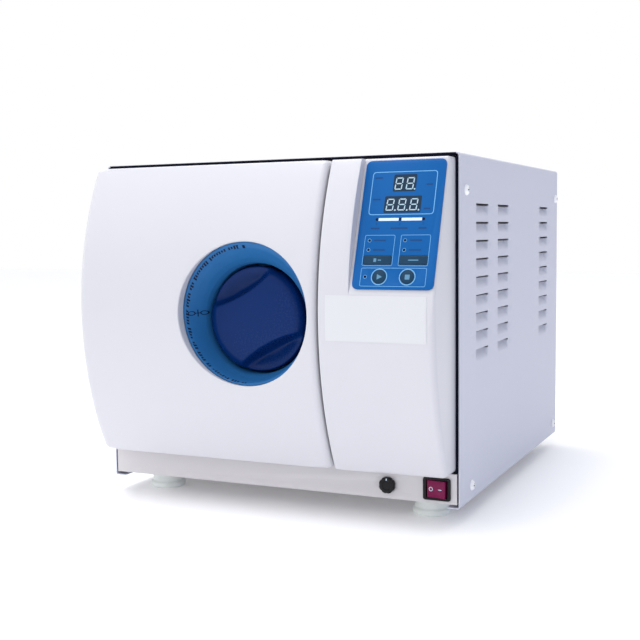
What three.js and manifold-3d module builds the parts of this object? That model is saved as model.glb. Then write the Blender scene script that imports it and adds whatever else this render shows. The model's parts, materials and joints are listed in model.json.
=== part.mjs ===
// Benchtop steam autoclave: folded sheet cover, round pressure chamber, hinged door with a cam lock,
// and a fixed control fascia. Millimetres, +Z up, the front faces -Y, origin under the middle of the base.
// Inside the group "machine" y is measured from the front edge of the cover, positive to the back.
import * as THREE from "three";
import { mergeVertices } from "three/addons/utils/BufferGeometryUtils.js";
import Module from "manifold-3d";

const wasm = await Module();
wasm.setup();

// ---------- driving dimensions ----------
const FIT = 0.3; // gap between parts that touch
const SHEET = 1.2; // cover, pan and rear panel
const COVER = { half: 222.5, bottom: 19, top: 400, depth: 470, bend: 4, flange: 14 };
const FRONT = { peak: -69, edge: -27, low: 57.5, high: 395, back: -2, wall: 2.5 };
const STRIP_TOP = 57;
const PAN = { half: 219.5, floor: 23.5, back: 465.5 };
const LOUVRE = { starts: [61, 150, 359.5], length: 49, rows: 9, top: 347.4, pitch: 20.25, slit: 2.2 };
const SIDE_SCREWS = [[22.8, 361], [456, 360], [44, 36], [450, 36]];
const SCREW = { head: 6, height: 3.5, shank: 2, hole: 2.6, length: 4 };
const FOOT = { x: 175.4, front: 46, back: 424, radius: 21.5, top: 23.2 };
const PLATE = { front: 34, thick: 1.5, half: 220 };

const CHAMBER = {
  x: -62, z: 228, bore: 115, wall: 3, mouth: 31, flange: 134, flangeDepth: 10, straight: 372,
};
const DISH_DEPTH = 28; // how far the closed end bulges to the back
const HEATER = { gap: 0.4, thick: 3, from: 120, to: 330 };
const JACKET = { inner: 122.5, outer: 136, from: 43, to: 385 };
const RACK = { half: 84, low: -74, high: 62, from: 45, to: 360, sheet: 1.5 };
const TRAY = { half: 80, length: 300, height: 14, sheet: 1, levels: [-56, -14, 28] };

const HINGE = { x: -208, y: -20, pin: 4, eye: 7.5, low: 112, high: 344, tall: 16 };
const DOOR = { left: -220.4, right: 85.8, corner: 8 };
const FASCIA = { left: 88.8, right: 217.6, back: 33.5 };
const APERTURE = { x: -4, z: 229, radius: 79.5, wall: 2.2, depth: -57.5 };
const AXIS = { x: -4, z: 221.4 }; // knob, bowl, spindle and cam
const BOWL = { rim: 79.1, well: 61.5, floor: 1, sheet: 2 };
const KNOB = { radius: 59, front: -37, back: 0.4, web: -22, grip: 31, scoop: 150, tilt: 28 };
const SPINDLE = { radius: 7, bush: 11 };
const CAM = { radius: 40, front: 5, thick: 4, start: 14, travel: 14, slot: 4.6 };
const BAR = { front: 10, thick: 3, reach: 109, tongue: 9, tip: 85, post: 42 };
const FOLLOWER = 3.9; // radius of the pin that runs in the cam slot
const CORE = { left: -199, right: 80, low: 70, high: 387, front: 16, thick: 3 };
const SEAL = { plate: 127, thick: 5, inner: 117.5, outer: 126, back: 30.7 };
const KEEPER = { x: 94, thick: 3, back: 33.5 };

const PANEL = { topY: -18, topZ: 394.7, slope: 19.45, step: 123.5 }; // inclined flat of the fascia
const OVERLAY = { left: 127, right: 216, top: 3, bottom: 144.6, thick: 1.6, corner: 7 };
const ROUND_KEYS = [["key_start", 156.4], ["key_stop", 187]];
const BAND_KEYS = [["key_program_1", 152.2], ["key_program_2", 191.4]];
const KEY = { radius: 7.4, row: 131.3, thick: 0.9, bandHalf: 15.5, bandTop: 108.6, bandLow: 118, gap: 0.35 };

const SWITCH = {
  x: 197.1, z: 39.4, half: 15.6, tall: 12.5, cavity: 12, cavityTall: 9.8, depth: 24, pivot: 3,
};
const DRAIN = { x: 140.2, z: 39, radius: 9.2, proud: 5.3 };
const TANK = { left: 101, right: 215, from: 231, to: 400, low: 250, top: 396.5, wall: 3 };
const LID = { left: 106, right: 210, from: 236, to: 324, thick: 2.4, gap: 0.8 };
const FAN = { x: 160, z: 150, half: 30, bore: 27.5, from: 440, depth: 25, hub: 12, blades: 7 };
const INLET = { x: 150, z: 62, half: 24, tall: 15, cavity: 12.3, cavityTall: 8.5, deep: 16 };
const VALVE = { x: -62, z: 352, outer: 491, body: 8, collar: 13, cap: 9, hole: 9 };
const PUMP = {
  x: 155, z: 62, motor: 24, from: 70, joint: 150, to: 196, headHalf: 25, headLow: 36, headHigh: 90,
};
const SOLENOID = {
  x: 135, y: 265, half: 15, bodyTop: 50, coil: 13, coilTop: 84, pipe: 5, pipeHalf: 29, pipeZ: 38,
};
const CONDENSER = {
  left: 110, right: 210, low: 100, high: 200, from: 408, base: 4, to: 434, fins: 9, pitch: 12, fin: 2,
};
const BOARD = { gap: 6, thick: 1.6, top: 14, bottom: 138, blocks: [[158, 188, 18, 40], [150, 195, 42, 63]] };

// ---------- helpers ----------
const turn = THREE.MathUtils.degToRad;

function paint(color, roughness, metalness = 0) {
  return new THREE.MeshStandardMaterial({ color, roughness, metalness });
}

// A closed geometry as a solid whose faces point out.
function solid(geometry) {
  const bare = geometry.clone();
  bare.deleteAttribute("normal");
  bare.deleteAttribute("uv");
  const merged = mergeVertices(bare, 1e-3);
  const vertProperties = merged.attributes.position.array;
  const triVerts = new Uint32Array(merged.index.array);
  const made = new wasm.Manifold(new wasm.Mesh({ numProp: 3, vertProperties, triVerts }));
  if (made.volume() > 0) return made;
  for (let i = 0; i < triVerts.length; i += 3) {
    [triVerts[i + 1], triVerts[i + 2]] = [triVerts[i + 2], triVerts[i + 1]];
  }
  return new wasm.Manifold(new wasm.Mesh({ numProp: 3, vertProperties, triVerts }));
}

const join = (...parts) => parts.reduce((a, b) => a.add(b));
const cut = (part, ...tools) => tools.reduce((a, b) => a.subtract(b), part);

function geometryOf(made) {
  const mesh = made.getMesh();
  const geometry = new THREE.BufferGeometry();
  geometry.setAttribute("position", new THREE.BufferAttribute(new Float32Array(mesh.vertProperties), 3));
  geometry.setIndex(new THREE.BufferAttribute(new Uint32Array(mesh.triVerts), 1));
  geometry.computeVertexNormals();
  return geometry;
}

function add(parent, name, made, material, place = [0, 0, 0]) {
  const mesh = new THREE.Mesh(geometryOf(made), material);
  mesh.name = name;
  mesh.position.set(...place);
  parent.add(mesh);
  return mesh;
}

function block(x0, x1, y0, y1, z0, z1) {
  const box = new THREE.BoxGeometry(x1 - x0, y1 - y0, z1 - z0);
  return solid(box.translate((x0 + x1) / 2, (y0 + y1) / 2, (z0 + z1) / 2));
}

// A profile of [radius, distance along the axis] turned about an axis through the local origin.
function turned(axis, profile, segments = 32) {
  const lathe = new THREE.LatheGeometry(profile.map(([r, a]) => new THREE.Vector2(r, a)), segments);
  if (axis === "z") lathe.rotateX(Math.PI / 2);
  if (axis === "x") lathe.rotateZ(-Math.PI / 2);
  return solid(lathe);
}

const rod = (axis, r, a, b, segments = 20) => turned(axis, [[0, a], [r, a], [r, b], [0, b]], segments);
const ring = (axis, r, big, a, b, segments = 36) =>
  turned(axis, [[r, a], [big, a], [big, b], [r, b], [r, a]], segments);

// An outline in the plane across an axis, drawn out between two places along it.
// Across x the outline is in (y, z), across y in (x, z), and across z in (x, y).
function prism(axis, outline, from, to, curveSegments = 6) {
  let shape = outline;
  if (Array.isArray(outline)) shape = new THREE.Shape(outline.map(([u, v]) => new THREE.Vector2(u, v)));
  const drawn = new THREE.ExtrudeGeometry(shape, { depth: to - from, bevelEnabled: false, curveSegments });
  drawn.translate(0, 0, from);
  const [X, Y, Z] = [new THREE.Vector3(1, 0, 0), new THREE.Vector3(0, 1, 0), new THREE.Vector3(0, 0, 1)];
  const basis = { x: [Y, Z, X], y: [X, Z, Y], z: [X, Y, Z] }[axis];
  return solid(drawn.applyMatrix4(new THREE.Matrix4().makeBasis(...basis)));
}

function roundedRect(u0, u1, v0, v1, r) {
  const shape = new THREE.Shape();
  shape.moveTo(u0 + r, v0);
  shape.lineTo(u1 - r, v0).absarc(u1 - r, v0 + r, r, -Math.PI / 2, 0);
  shape.lineTo(u1, v1 - r).absarc(u1 - r, v1 - r, r, 0, Math.PI / 2);
  shape.lineTo(u0 + r, v1).absarc(u0 + r, v1 - r, r, Math.PI / 2, Math.PI);
  shape.lineTo(u0, v0 + r).absarc(u0 + r, v0 + r, r, Math.PI, Math.PI * 1.5);
  return shape;
}

const at = (made, x, y, z) => made.translate([x, y, z]);

// ---------- materials ----------
const coverPaint = paint(0xc3c6d6, 0.55);
const stripPaint = paint(0xcccacf, 0.5);
const whitePlastic = paint(0xeeeef3, 0.35);
const bluePlastic = paint(0x0d3f92, 0.2);
const bowlPlastic = paint(0x2869aa, 0.35);
const blackPlastic = paint(0x15161a, 0.4);
const footPlastic = paint(0xd7e1dc, 0.6);
const overlayFilm = paint(0x1669b6, 0.3);
const keyFilm = paint(0x14415f, 0.35);
const rockerPlastic = paint(0x7d1e55, 0.2);
const stainless = paint(0xb9bcc0, 0.3, 1);
const zinc = paint(0x9ea3a8, 0.4, 1);
const aluminium = paint(0xc4c8cc, 0.4, 1);
const siliconeRubber = paint(0xd9d6cc, 0.7);
const heaterRubber = paint(0x8f4a2a, 0.7);
const wool = paint(0xd8d2bd, 0.95);
const brass = paint(0xb08d4a, 0.35, 1);
const tankPlastic = paint(0xe6e8e6, 0.4);
const boardGreen = paint(0x1f5a38, 0.5);

// ---------- the casing ----------
function coverOutline(inset) {
  const { half, bottom, top, bend } = COVER;
  const r = Math.max(bend - inset, 1);
  const [w, h] = [half - inset, top - inset];
  const shape = new THREE.Shape();
  shape.moveTo(-w, bottom + inset).lineTo(w, bottom + inset);
  shape.lineTo(w, h - r).absarc(w - r, h - r, r, 0, Math.PI / 2);
  shape.lineTo(-w + r, h).absarc(-w + r, h - r, r, Math.PI / 2, Math.PI);
  return shape;
}

function makeCover() {
  const { half, bottom, depth, flange } = COVER;
  let made = prism("y", coverOutline(0), 0, depth, 4);
  const open = block(flange - half, half - flange, -1, depth + 1, bottom - 1, bottom + SHEET + 1);
  made = cut(made, prism("y", coverOutline(SHEET), -1, depth + 1, 4), open);
  for (const start of LOUVRE.starts) {
    for (let row = 0; row < LOUVRE.rows; row++) {
      const top = LOUVRE.top - row * LOUVRE.pitch;
      made = cut(made, block(-half - 1, half + 1, start, start + LOUVRE.length, top - LOUVRE.slit, top));
    }
  }
  for (const [y, z] of SIDE_SCREWS) {
    made = cut(made, at(rod("x", SCREW.hole, -half - 1, half + 1, 8), 0, y, z));
  }
  return cut(made, block(LID.left, LID.right, LID.from, LID.to, COVER.top - 3, COVER.top + 1));
}

function makeSideScrew() {
  const { head, height, shank, length } = SCREW;
  return turned("x", [[0, height], [head * 0.6, height * 0.8], [head, 0], [shank, 0],
    [shank, -length], [0, -length]], 12);
}

function makeBasePan() {
  const { half, floor, back } = PAN;
  const outline = [[0, floor], [back, floor], [back, floor + SHEET], [SHEET, floor + SHEET],
    [SHEET, STRIP_TOP], [0, STRIP_TOP]];
  const made = prism("x", outline, -half, half);
  const { x, z, half: wide, tall } = SWITCH;
  const switchHole = block(x - wide + 1.4, x + wide - 1.4, -1, 3, z - tall + 1.4, z + tall - 1.4);
  return cut(made, switchHole, at(rod("y", 4, -1, 3, 12), DRAIN.x, 0, DRAIN.z));
}

function makeFoot() {
  const { radius, top } = FOOT;
  return turned("z", [[0, 0], [radius - 1, 0], [radius, 1], [radius, 6], [radius - 2, 8],
    [radius - 3.5, top], [0, top]], 20);
}

function makeRearPanel() {
  const low = PAN.floor + SHEET + FIT;
  const [y0, y1] = [PAN.back + FIT, PAN.back + FIT + SHEET];
  let made = block(-PAN.half, PAN.half, y0, y1, low, COVER.top - SHEET - 1);
  const { x, z, half, tall } = INLET;
  made = cut(made, block(x - half + 4.6, x + half - 4.6, y0 - 1, y1 + 1, z - tall + 2.6, z + tall - 2.6));
  for (let row = -3; row <= 3; row++) {
    const reach = Math.sqrt(FAN.bore ** 2 - (row * 7) ** 2);
    made = cut(made, block(FAN.x - reach, FAN.x + reach, y0 - 1, y1 + 1,
      FAN.z + row * 7 - 1.8, FAN.z + row * 7 + 1.8));
  }
  return cut(made, at(rod("y", VALVE.hole, y0 - 1, y1 + 1, 16), VALVE.x, 0, VALVE.z));
}

function makeFrontPlate() {
  const { front, thick, half } = PLATE;
  const low = PAN.floor + SHEET + FIT;
  const made = block(-half, half, front, front + thick, low, COVER.top - SHEET - 1);
  const hole = rod("y", CHAMBER.flange + 1.2, front - 1, front + thick + 1, 48);
  return cut(made, at(hole, CHAMBER.x, 0, CHAMBER.z));
}

// ---------- the chamber and what it holds ----------
// Half of an ellipse from the rim of a dished end to the axis, as [radius, distance].
function dish(radius, start, depth, steps = 4) {
  const points = [];
  for (let i = 0; i <= steps; i++) {
    const angle = (Math.PI / 2) * (i / steps);
    points.push([radius * Math.cos(angle), start + depth * Math.sin(angle)]);
  }
  points[steps][0] = 0;
  return points;
}

function makeChamber() {
  const { bore, wall, mouth, flange, flangeDepth, straight } = CHAMBER;
  const outer = bore + wall;
  return turned("y", [...dish(bore, straight, DISH_DEPTH).reverse(), [bore, mouth], [flange, mouth],
    [flange, mouth + flangeDepth], [outer, mouth + flangeDepth],
    ...dish(outer, straight, DISH_DEPTH + wall)], 36);
}

function makeHeater() {
  const inner = CHAMBER.bore + CHAMBER.wall + HEATER.gap;
  return ring("y", inner, inner + HEATER.thick, HEATER.from, HEATER.to);
}

// Two side plates with a ledge under each tray, tied together by four cross strips.
function makeRack() {
  const { half, low, high, from, to, sheet } = RACK;
  const parts = [];
  for (const side of [-1, 1]) {
    const x = [side * half, side * (half + sheet)].sort((a, b) => a - b);
    parts.push(block(x[0], x[1], from, to, low, high));
    for (const level of TRAY.levels) {
      const ledge = [side * (half - 9), side * (half + sheet / 2)].sort((a, b) => a - b);
      parts.push(block(ledge[0], ledge[1], from, to, level - FIT - sheet, level - FIT));
    }
  }
  for (const y of [from, to - 12]) {
    parts.push(block(-half - 0.5, half + 0.5, y, y + 12, low, low + sheet));
  }
  parts.push(block(-half - 0.5, half + 0.5, to - sheet, to, high - 10, high));
  return join(...parts);
}

function makeTray() {
  const { half, length, height, sheet } = TRAY;
  const inside = block(sheet - half, half - sheet, sheet, length - sheet, sheet, height + 1);
  return cut(block(-half, half, 0, length, 0, height), inside);
}

// ---------- the bulging front ----------
// Side view of the front, as points in (y, z): flat top and bottom and one arc between them.
function frontOutline(inset, back, steps) {
  const { peak, edge, low, high } = FRONT;
  const middle = (low + high) / 2;
  const rise = edge - peak;
  const chord = (high - low) / 2;
  const radius = (chord ** 2 + rise ** 2) / (2 * rise);
  const sweep = Math.asin((chord - inset) / (radius - inset));
  const points = [[back, low + inset]];
  for (let i = 0; i <= steps; i++) {
    const angle = sweep * ((2 * i) / steps - 1);
    const y = peak + radius - (radius - inset) * Math.cos(angle);
    points.push([y, middle + (radius - inset) * Math.sin(angle)]);
  }
  points.push([back, high - inset]);
  return points;
}

function frontShell(left, right, corners, back, steps) {
  const { low, high, wall } = FRONT;
  const frame = prism("y", roundedRect(left, right, low - 1, high + 1, corners), -100, back + 1, 4);
  const hollow = prism("y", roundedRect(left + wall, right - wall, low - 1, high + 1, corners - 1),
    -100, back + 2, 4);
  const outer = prism("x", frontOutline(0, back, steps), left, right).intersect(frame);
  const inner = prism("x", frontOutline(wall, back + 2, steps), left + wall, right - wall).intersect(hollow);
  return { outer, inner };
}

function makeDoorShell() {
  const { outer, inner } = frontShell(DOOR.left, DOOR.right, DOOR.corner, FRONT.back, 16);
  const { x, z, radius, wall, depth } = APERTURE;
  const tube = at(rod("y", radius + wall, -100, depth, 36), x, 0, z).intersect(outer);
  const bosses = [];
  for (const bx of [CORE.left + 14, CORE.right - 10]) {
    for (const bz of [CORE.low + 12, CORE.high - 12]) {
      bosses.push(at(rod("y", 6, FRONT.peak, FRONT.back, 12), bx, 0, bz).intersect(outer));
      bosses.push(at(rod("y", 6, FRONT.back - 1, CORE.front - FIT, 12), bx, 0, bz));
    }
  }
  let made = join(cut(outer, inner), tube, ...bosses);
  made = cut(made, at(rod("y", radius, -101, 0, 36), x, 0, z));
  for (const level of [HINGE.low, HINGE.high]) {
    const notch = HINGE.tall / 2 + 3;
    made = cut(made, block(DOOR.left - 1, DOOR.left + 6, HINGE.y - 16, 1, level - notch, level + notch));
  }
  return made;
}

// The dished surround of the knob. Its rim is round the aperture and its well round the knob,
// so the slope between them leans down.
function makeBowl() {
  const { rim, well, floor, sheet } = BOWL;
  const drop = APERTURE.z - AXIS.z;
  const hole = SPINDLE.bush + FIT;
  const profile = [[hole, floor], [well - 1, floor], [well, floor - 1], [well, -24], [well + 2.5, -33],
    [well + 10, -48], [well + 15, -56], [rim, -57], [rim, -57 + sheet], [well + 14, -52.5],
    [well + 4.5, -32], [well + 2, -23], [well + 2, floor + sheet], [hole, floor + sheet], [hole, floor]];
  const lathe = new THREE.LatheGeometry(profile.map(([r, y]) => new THREE.Vector2(r, y)), 32);
  const position = lathe.attributes.position;
  for (let i = 0; i < position.count; i++) {
    const [x, z] = [position.getX(i), position.getZ(i)];
    const share = THREE.MathUtils.smoothstep(Math.hypot(x, z), well + 2, rim);
    position.setZ(i, z + drop * share);
  }
  return solid(lathe);
}

function makeCorePlate() {
  const { left, right, low, high, front, thick } = CORE;
  return prism("y", roundedRect(left, right, low, high, 14), front, front + thick, 3);
}

function makePressurePlate() {
  const { plate, thick, inner } = SEAL;
  const start = CORE.front + CORE.thick + FIT;
  const face = start + thick;
  return turned("y", [[0, start], [plate, start], [plate, face], [inner - 4, face], [inner - 5, face + 4],
    [0, face + 4]], 36);
}

function makeGasket() {
  const start = CORE.front + CORE.thick + FIT + SEAL.thick + FIT;
  return ring("y", SEAL.inner, SEAL.outer, start, SEAL.back);
}

// ---------- door hinge ----------
function makeBracket() {
  const { pin, eye, tall, y } = HINGE;
  const eyeRing = rod("z", eye, -tall / 2, tall / 2, 16);
  const arm = block(-6, 6, 0, PLATE.front - FIT - y, -tall / 2, tall / 2);
  const foot = block(-12, 34, PLATE.front - FIT - y - 3, PLATE.front - FIT - y, -tall / 2, tall / 2);
  return cut(join(eyeRing, arm, foot), rod("z", pin + FIT, -tall, tall, 16));
}

function makeArm() {
  const { pin, eye, tall, y } = HINGE;
  const reach = CORE.front - FIT - y;
  const eyeRing = rod("z", eye, 0, tall, 16);
  const out = block(0, 22, -4, 4, 0, tall);
  const back = block(14, 22, -4, reach, 0, tall);
  const pad = block(14, 50, reach - 3, reach, 0, tall);
  return cut(join(eyeRing, out, back, pad), rod("z", pin + FIT, -1, tall + 1, 16));
}

// ---------- knob and lock ----------
function makeKnob() {
  const { radius, front, back, web, grip, scoop } = KNOB;
  const full = turned("y", [[0, front], [radius - 9, front], [radius - 3, front + 3], [radius, front + 9],
    [radius, back], [0, back]], 40);
  const reach = grip + scoop;
  const hollow = (side) => at(rod("y", scoop, front - 1, web, 72), 0, 0, side * reach);
  const bored = rod("y", SPINDLE.radius + FIT, front + 8, back + 1, 20);
  return cut(full, hollow(1), hollow(-1), bored);
}

const makeSpindle = () => rod("y", SPINDLE.radius, KNOB.front + 8.5, CAM.front + CAM.thick + 0.6);
const makeBush = () => ring("y", SPINDLE.radius + FIT, SPINDLE.bush, BOWL.floor - 0.2, CAM.front - 0.4, 20);

// The slot is a spiral: its radius grows in step with the turn, so the bar moves evenly.
function makeCam() {
  const { radius, front, thick, start, travel, slot } = CAM;
  const steps = 12;
  const spot = (step, side) => {
    const share = step / steps;
    const r = start + travel * share + side * slot;
    const angle = share * (Math.PI / 2);
    return [r * Math.cos(angle), r * Math.sin(angle)];
  };
  const outer = [];
  const inner = [];
  for (let i = 0; i <= steps; i++) {
    outer.push(spot(i, 1));
    inner.unshift(spot(i, -1));
  }
  const ends = [0, steps].map((i) => {
    const [x, z] = spot(i, 0);
    return at(rod("y", slot, front - 1, front + thick + 1, 16), x, 0, z);
  });
  const disc = ring("y", SPINDLE.radius + FIT, radius, front, front + thick);
  return cut(disc, prism("y", [...outer, ...inner], front - 1, front + thick + 1), ...ends);
}

function makeLockBar() {
  const { front, thick, reach, tongue, tip, post } = BAR;
  const [y0, y1] = [front, front + thick];
  const tipX = tip - AXIS.x;
  const pinX = CAM.start;
  return join(
    block(post, post + 18, y0, y1, -reach - tongue, reach + tongue),
    block(post, tipX, y0, y1, reach - tongue, reach + tongue),
    block(post, tipX, y0, y1, -reach - tongue, -reach + tongue),
    block(pinX - 6, post + 1, y0, y1, -8, 8),
    at(rod("y", FOLLOWER, CAM.front + 0.5, front + 1, 16), pinX, 0, 0),
  );
}

// One strip on the core plate with a loop round each tongue of the bar.
function makeBarGuide() {
  const { front, thick, reach, tongue } = BAR;
  const [x0, x1] = [76, 84];
  const back = CORE.front - FIT;
  const parts = [block(x0, x1, front + thick + FIT, back, -reach - tongue - 4, reach + tongue + 4)];
  for (const side of [-1, 1]) {
    const loop = block(x0, x1, front - 3, back, side * reach - tongue - 4, side * reach + tongue + 4);
    const way = block(x0 - 1, x1 + 1, front - FIT, front + thick + FIT,
      side * reach - tongue - 0.5, side * reach + tongue + 0.5);
    parts.push(cut(loop, way));
  }
  return join(...parts);
}

function makeKeeper() {
  const { x, thick, back } = KEEPER;
  const { front, thick: barThick, reach, tongue } = BAR;
  const tall = reach + tongue + 12;
  const made = join(block(x, x + thick, front - 5, back, -tall, tall),
    block(x, x + 22, back - 2, back, -tall, tall));
  const slot = (side) => block(x - 1, x + thick + 1, front - 1, front + barThick + 1.5,
    side * reach - tongue - 2, side * reach + tongue + 2);
  return cut(made, slot(1), slot(-1));
}

// ---------- control fascia ----------
// Across the inclined flat: x as on the machine, y out of the flat is negative,
// z is minus the distance down it.
const panelGroup = new THREE.Group();
panelGroup.position.set(0, PANEL.topY, PANEL.topZ);
panelGroup.rotation.x = turn(-PANEL.slope);

function makeFascia() {
  const { left, right, back } = FASCIA;
  const { outer, inner } = frontShell(left, right, 3, back, 16);
  const slope = turn(PANEL.slope);
  const along = (d, out) => [PANEL.topY - d * Math.sin(slope) - out * Math.cos(slope),
    PANEL.topZ - d * Math.cos(slope) + out * Math.sin(slope)];
  const foot = 147;
  const above = (out) => [along(-8, out), along(foot, out), along(foot, 40), along(-8, 40)];
  const front = prism("x", above(0), PANEL.step, right + 1);
  const behind = prism("x", above(-FRONT.wall), PANEL.step - FRONT.wall, right + 1);
  const { front: barFront, thick, reach, tongue } = BAR;
  const slot = (side) => block(left - 1, left + FRONT.wall + 1, barFront - 2, barFront + thick + 2.5,
    AXIS.z + side * reach - tongue - 3, AXIS.z + side * reach + tongue + 3);
  return cut(cut(outer, front), cut(inner, behind), slot(1), slot(-1));
}

function bandKeyBox(x, grow, y0, y1) {
  const half = KEY.bandHalf + grow;
  return block(x - half, x + half, y0, y1, -KEY.bandLow - grow, -KEY.bandTop + grow);
}

function makeOverlay() {
  const { left, right, top, bottom, thick, corner } = OVERLAY;
  let made = prism("y", roundedRect(left, right, -bottom, -top, corner), -FIT - thick, -FIT, 4);
  for (const [, x] of ROUND_KEYS) {
    made = cut(made, at(rod("y", KEY.radius + KEY.gap, -5, 1, 24), x, 0, -KEY.row));
  }
  for (const [, x] of BAND_KEYS) {
    made = cut(made, bandKeyBox(x, KEY.gap, -5, 1));
  }
  return made;
}

function addKeys() {
  const front = -FIT - OVERLAY.thick - 0.1;
  for (const [name, x] of ROUND_KEYS) {
    add(panelGroup, name, rod("y", KEY.radius, front, front + KEY.thick, 24), keyFilm, [x, 0, -KEY.row]);
  }
  for (const [name, x] of BAND_KEYS) {
    add(panelGroup, name, bandKeyBox(x, 0, front, front + KEY.thick), keyFilm);
  }
}

// The board stands behind the flat and carries the two display blocks.
function makeControlBoard() {
  const { gap, thick, top, bottom, blocks } = BOARD;
  const face = FRONT.wall + gap;
  const displays = blocks.map(([x0, x1, high, low]) =>
    block(x0, x1, FRONT.wall + 0.5, face + 0.5, -low, -high));
  return join(block(PANEL.step + 5, FASCIA.right - 6, face, face + thick, -bottom, -top), ...displays);
}

// ---------- front strip ----------
function makeSwitchHousing() {
  const { x, z, half, tall, cavity, cavityTall, depth } = SWITCH;
  const bezel = prism("y", roundedRect(x - half, x + half, z - tall, z + tall, 3), -FIT - 2, -FIT, 3);
  const body = block(x - half + 1.8, x + half - 1.8, -FIT - 0.5, depth, z - tall + 1.8, z + tall - 1.8);
  const pocket = block(x - cavity, x + cavity, -5, depth - 8, z - cavityTall, z + cavityTall);
  return cut(join(bezel, body), pocket);
}

// Seen from above, pivoted at the origin: the right end stands out and the left end is pressed in.
function makeRocker() {
  const outline = [[-10.7, -5.4], [-4, -5.9], [2, -6.6], [7, -7.6], [9.9, -8.8], [10.4, -7.8], [10.8, -2],
    [6, 9], [-6, 9], [-10.8, -2]];
  return prism("z", outline, -9.4, 9.4);
}

function makeDrainKnob() {
  const { radius, proud } = DRAIN;
  return turned("y", [[0, -proud], [radius - 1, -proud], [radius, -proud + 1], [radius, -FIT], [3, -FIT],
    [3, 12], [0, 12]], 8);
}

function makeDrainValve() {
  const body = block(-11, 11, 12.4, 30, -10, 10);
  return join(body, at(rod("z", 4.5, 9, 17, 12), 0, 22, 0));
}

// ---------- water, cooling and supply ----------
function makeTank() {
  const { left, right, from, to, low, top, wall } = TANK;
  const inside = block(left + wall, right - wall, from + wall, to - wall, low + wall, top - 6);
  const neck = block(LID.left + 3, LID.right - 3, LID.from + 3, LID.to - 3, top - 7, top + 1);
  return cut(block(left, right, from, to, low, top), inside, neck);
}

// The lid lies in the cover's opening and turns about its own rear top edge.
function makeLid() {
  const { left, right, from, to, thick, gap } = LID;
  const middle = (left + right) / 2;
  const plate = block(left + gap, right - gap, from + gap, to - gap, COVER.top - thick, COVER.top);
  return cut(plate, at(rod("z", 11, COVER.top - 1.4, COVER.top + 1, 20), middle, from + 8, 0));
}

function makeFanFrame() {
  const { half, bore, depth, hub } = FAN;
  const ringPart = cut(block(-half, half, 0, depth, -half, half), rod("y", bore, -1, depth + 1, 32));
  const struts = [0, 1, 2, 3].map((i) =>
    block(0, bore + 1, depth - 3, depth, -1.5, 1.5).rotate([0, 45 + 90 * i, 0]));
  return join(ringPart, rod("y", hub, depth - 3, depth, 20), ...struts);
}

function makeFanRotor() {
  const { bore, depth, hub, blades } = FAN;
  const reach = bore - 1.5;
  const list = [];
  for (let i = 0; i < blades; i++) {
    const blade = block(hub - 1, reach, -0.8, 0.8, -7, 7).rotate([42, 0, 0]);
    list.push(at(blade, 0, (depth - 4) / 2, 0).rotate([0, (360 / blades) * i, 0]));
  }
  return join(rod("y", hub, 2, depth - 4, 20), ...list);
}

function makeInlet() {
  const { half, tall, cavity, cavityTall, deep } = INLET;
  const face = PAN.back + 2 * FIT + SHEET;
  const flange = prism("y", roundedRect(-half, half, -tall, tall, 4), face, face + 3, 3);
  const body = block(-half + 5, half - 5, face - 26, face + 1, -tall + 3, tall - 3);
  return cut(join(flange, body), block(-cavity, cavity, face + 3 - deep, face + 4, -cavityTall, cavityTall));
}

function makeSafetyValve() {
  const { outer, body, collar, cap } = VALVE;
  const face = PAN.back + 2 * FIT + SHEET;
  return turned("y", [[0, face - 22], [body, face - 22], [body, face], [collar, face], [collar, face + 8],
    [cap, face + 9], [cap, outer - 5], [cap - 2, outer], [0, outer]], 12);
}

function makePump() {
  const { x, z, motor, from, joint, to, headHalf, headLow, headHigh } = PUMP;
  const low = PAN.floor + SHEET + FIT;
  const barrel = at(rod("y", motor, from, joint, 24), x, 0, z);
  const head = block(x - headHalf, x + headHalf, joint, to, headLow, headHigh);
  const foot = block(x - headHalf - 2, x + headHalf + 2, from + 10, to - 6, low, headLow + 6);
  return join(barrel, head, foot);
}

function makeSolenoid() {
  const { x, y, half, bodyTop, coil, coilTop, pipe, pipeHalf, pipeZ } = SOLENOID;
  const body = block(x - half, x + half, y - half, y + half, PAN.floor + SHEET + FIT, bodyTop);
  return join(body, at(rod("z", coil, bodyTop - 2, coilTop, 20), x, y, 0),
    at(rod("y", pipe, y - pipeHalf, y + pipeHalf, 12), x, 0, pipeZ));
}

function makeCondenser() {
  const { left, right, low, high, from, base, to, fins, pitch, fin } = CONDENSER;
  const parts = [block(left, right, from, from + base, low, high)];
  for (let i = 0; i < fins; i++) {
    const start = left + fin + i * pitch;
    parts.push(block(start, start + fin, from + base - 1, to, low + 4, high - 4));
  }
  return join(...parts);
}

// ---------- assembly ----------
const autoclave = new THREE.Group();
const machine = new THREE.Group();
machine.position.y = -(FRONT.peak + VALVE.outer) / 2;
autoclave.add(machine);

add(machine, "cover", makeCover(), coverPaint);
add(machine, "base_pan", makeBasePan(), stripPaint);
add(machine, "rear_panel", makeRearPanel(), coverPaint);
add(machine, "front_plate", makeFrontPlate(), zinc);
for (const [end, y] of [["front", FOOT.front], ["rear", FOOT.back]]) {
  for (const [side, sign] of [["left", -1], ["right", 1]]) {
    add(machine, `foot_${end}_${side}`, makeFoot(), footPlastic, [sign * FOOT.x, y, 0]);
  }
}
SIDE_SCREWS.forEach(([y, z], i) => {
  for (const [side, sign] of [["left", -1], ["right", 1]]) {
    const screw = add(machine, `screw_${side}_${i + 1}`, makeSideScrew(), zinc,
      [sign * (COVER.half + FIT), y, z]);
    screw.rotation.z = sign < 0 ? Math.PI : 0;
  }
});

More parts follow.
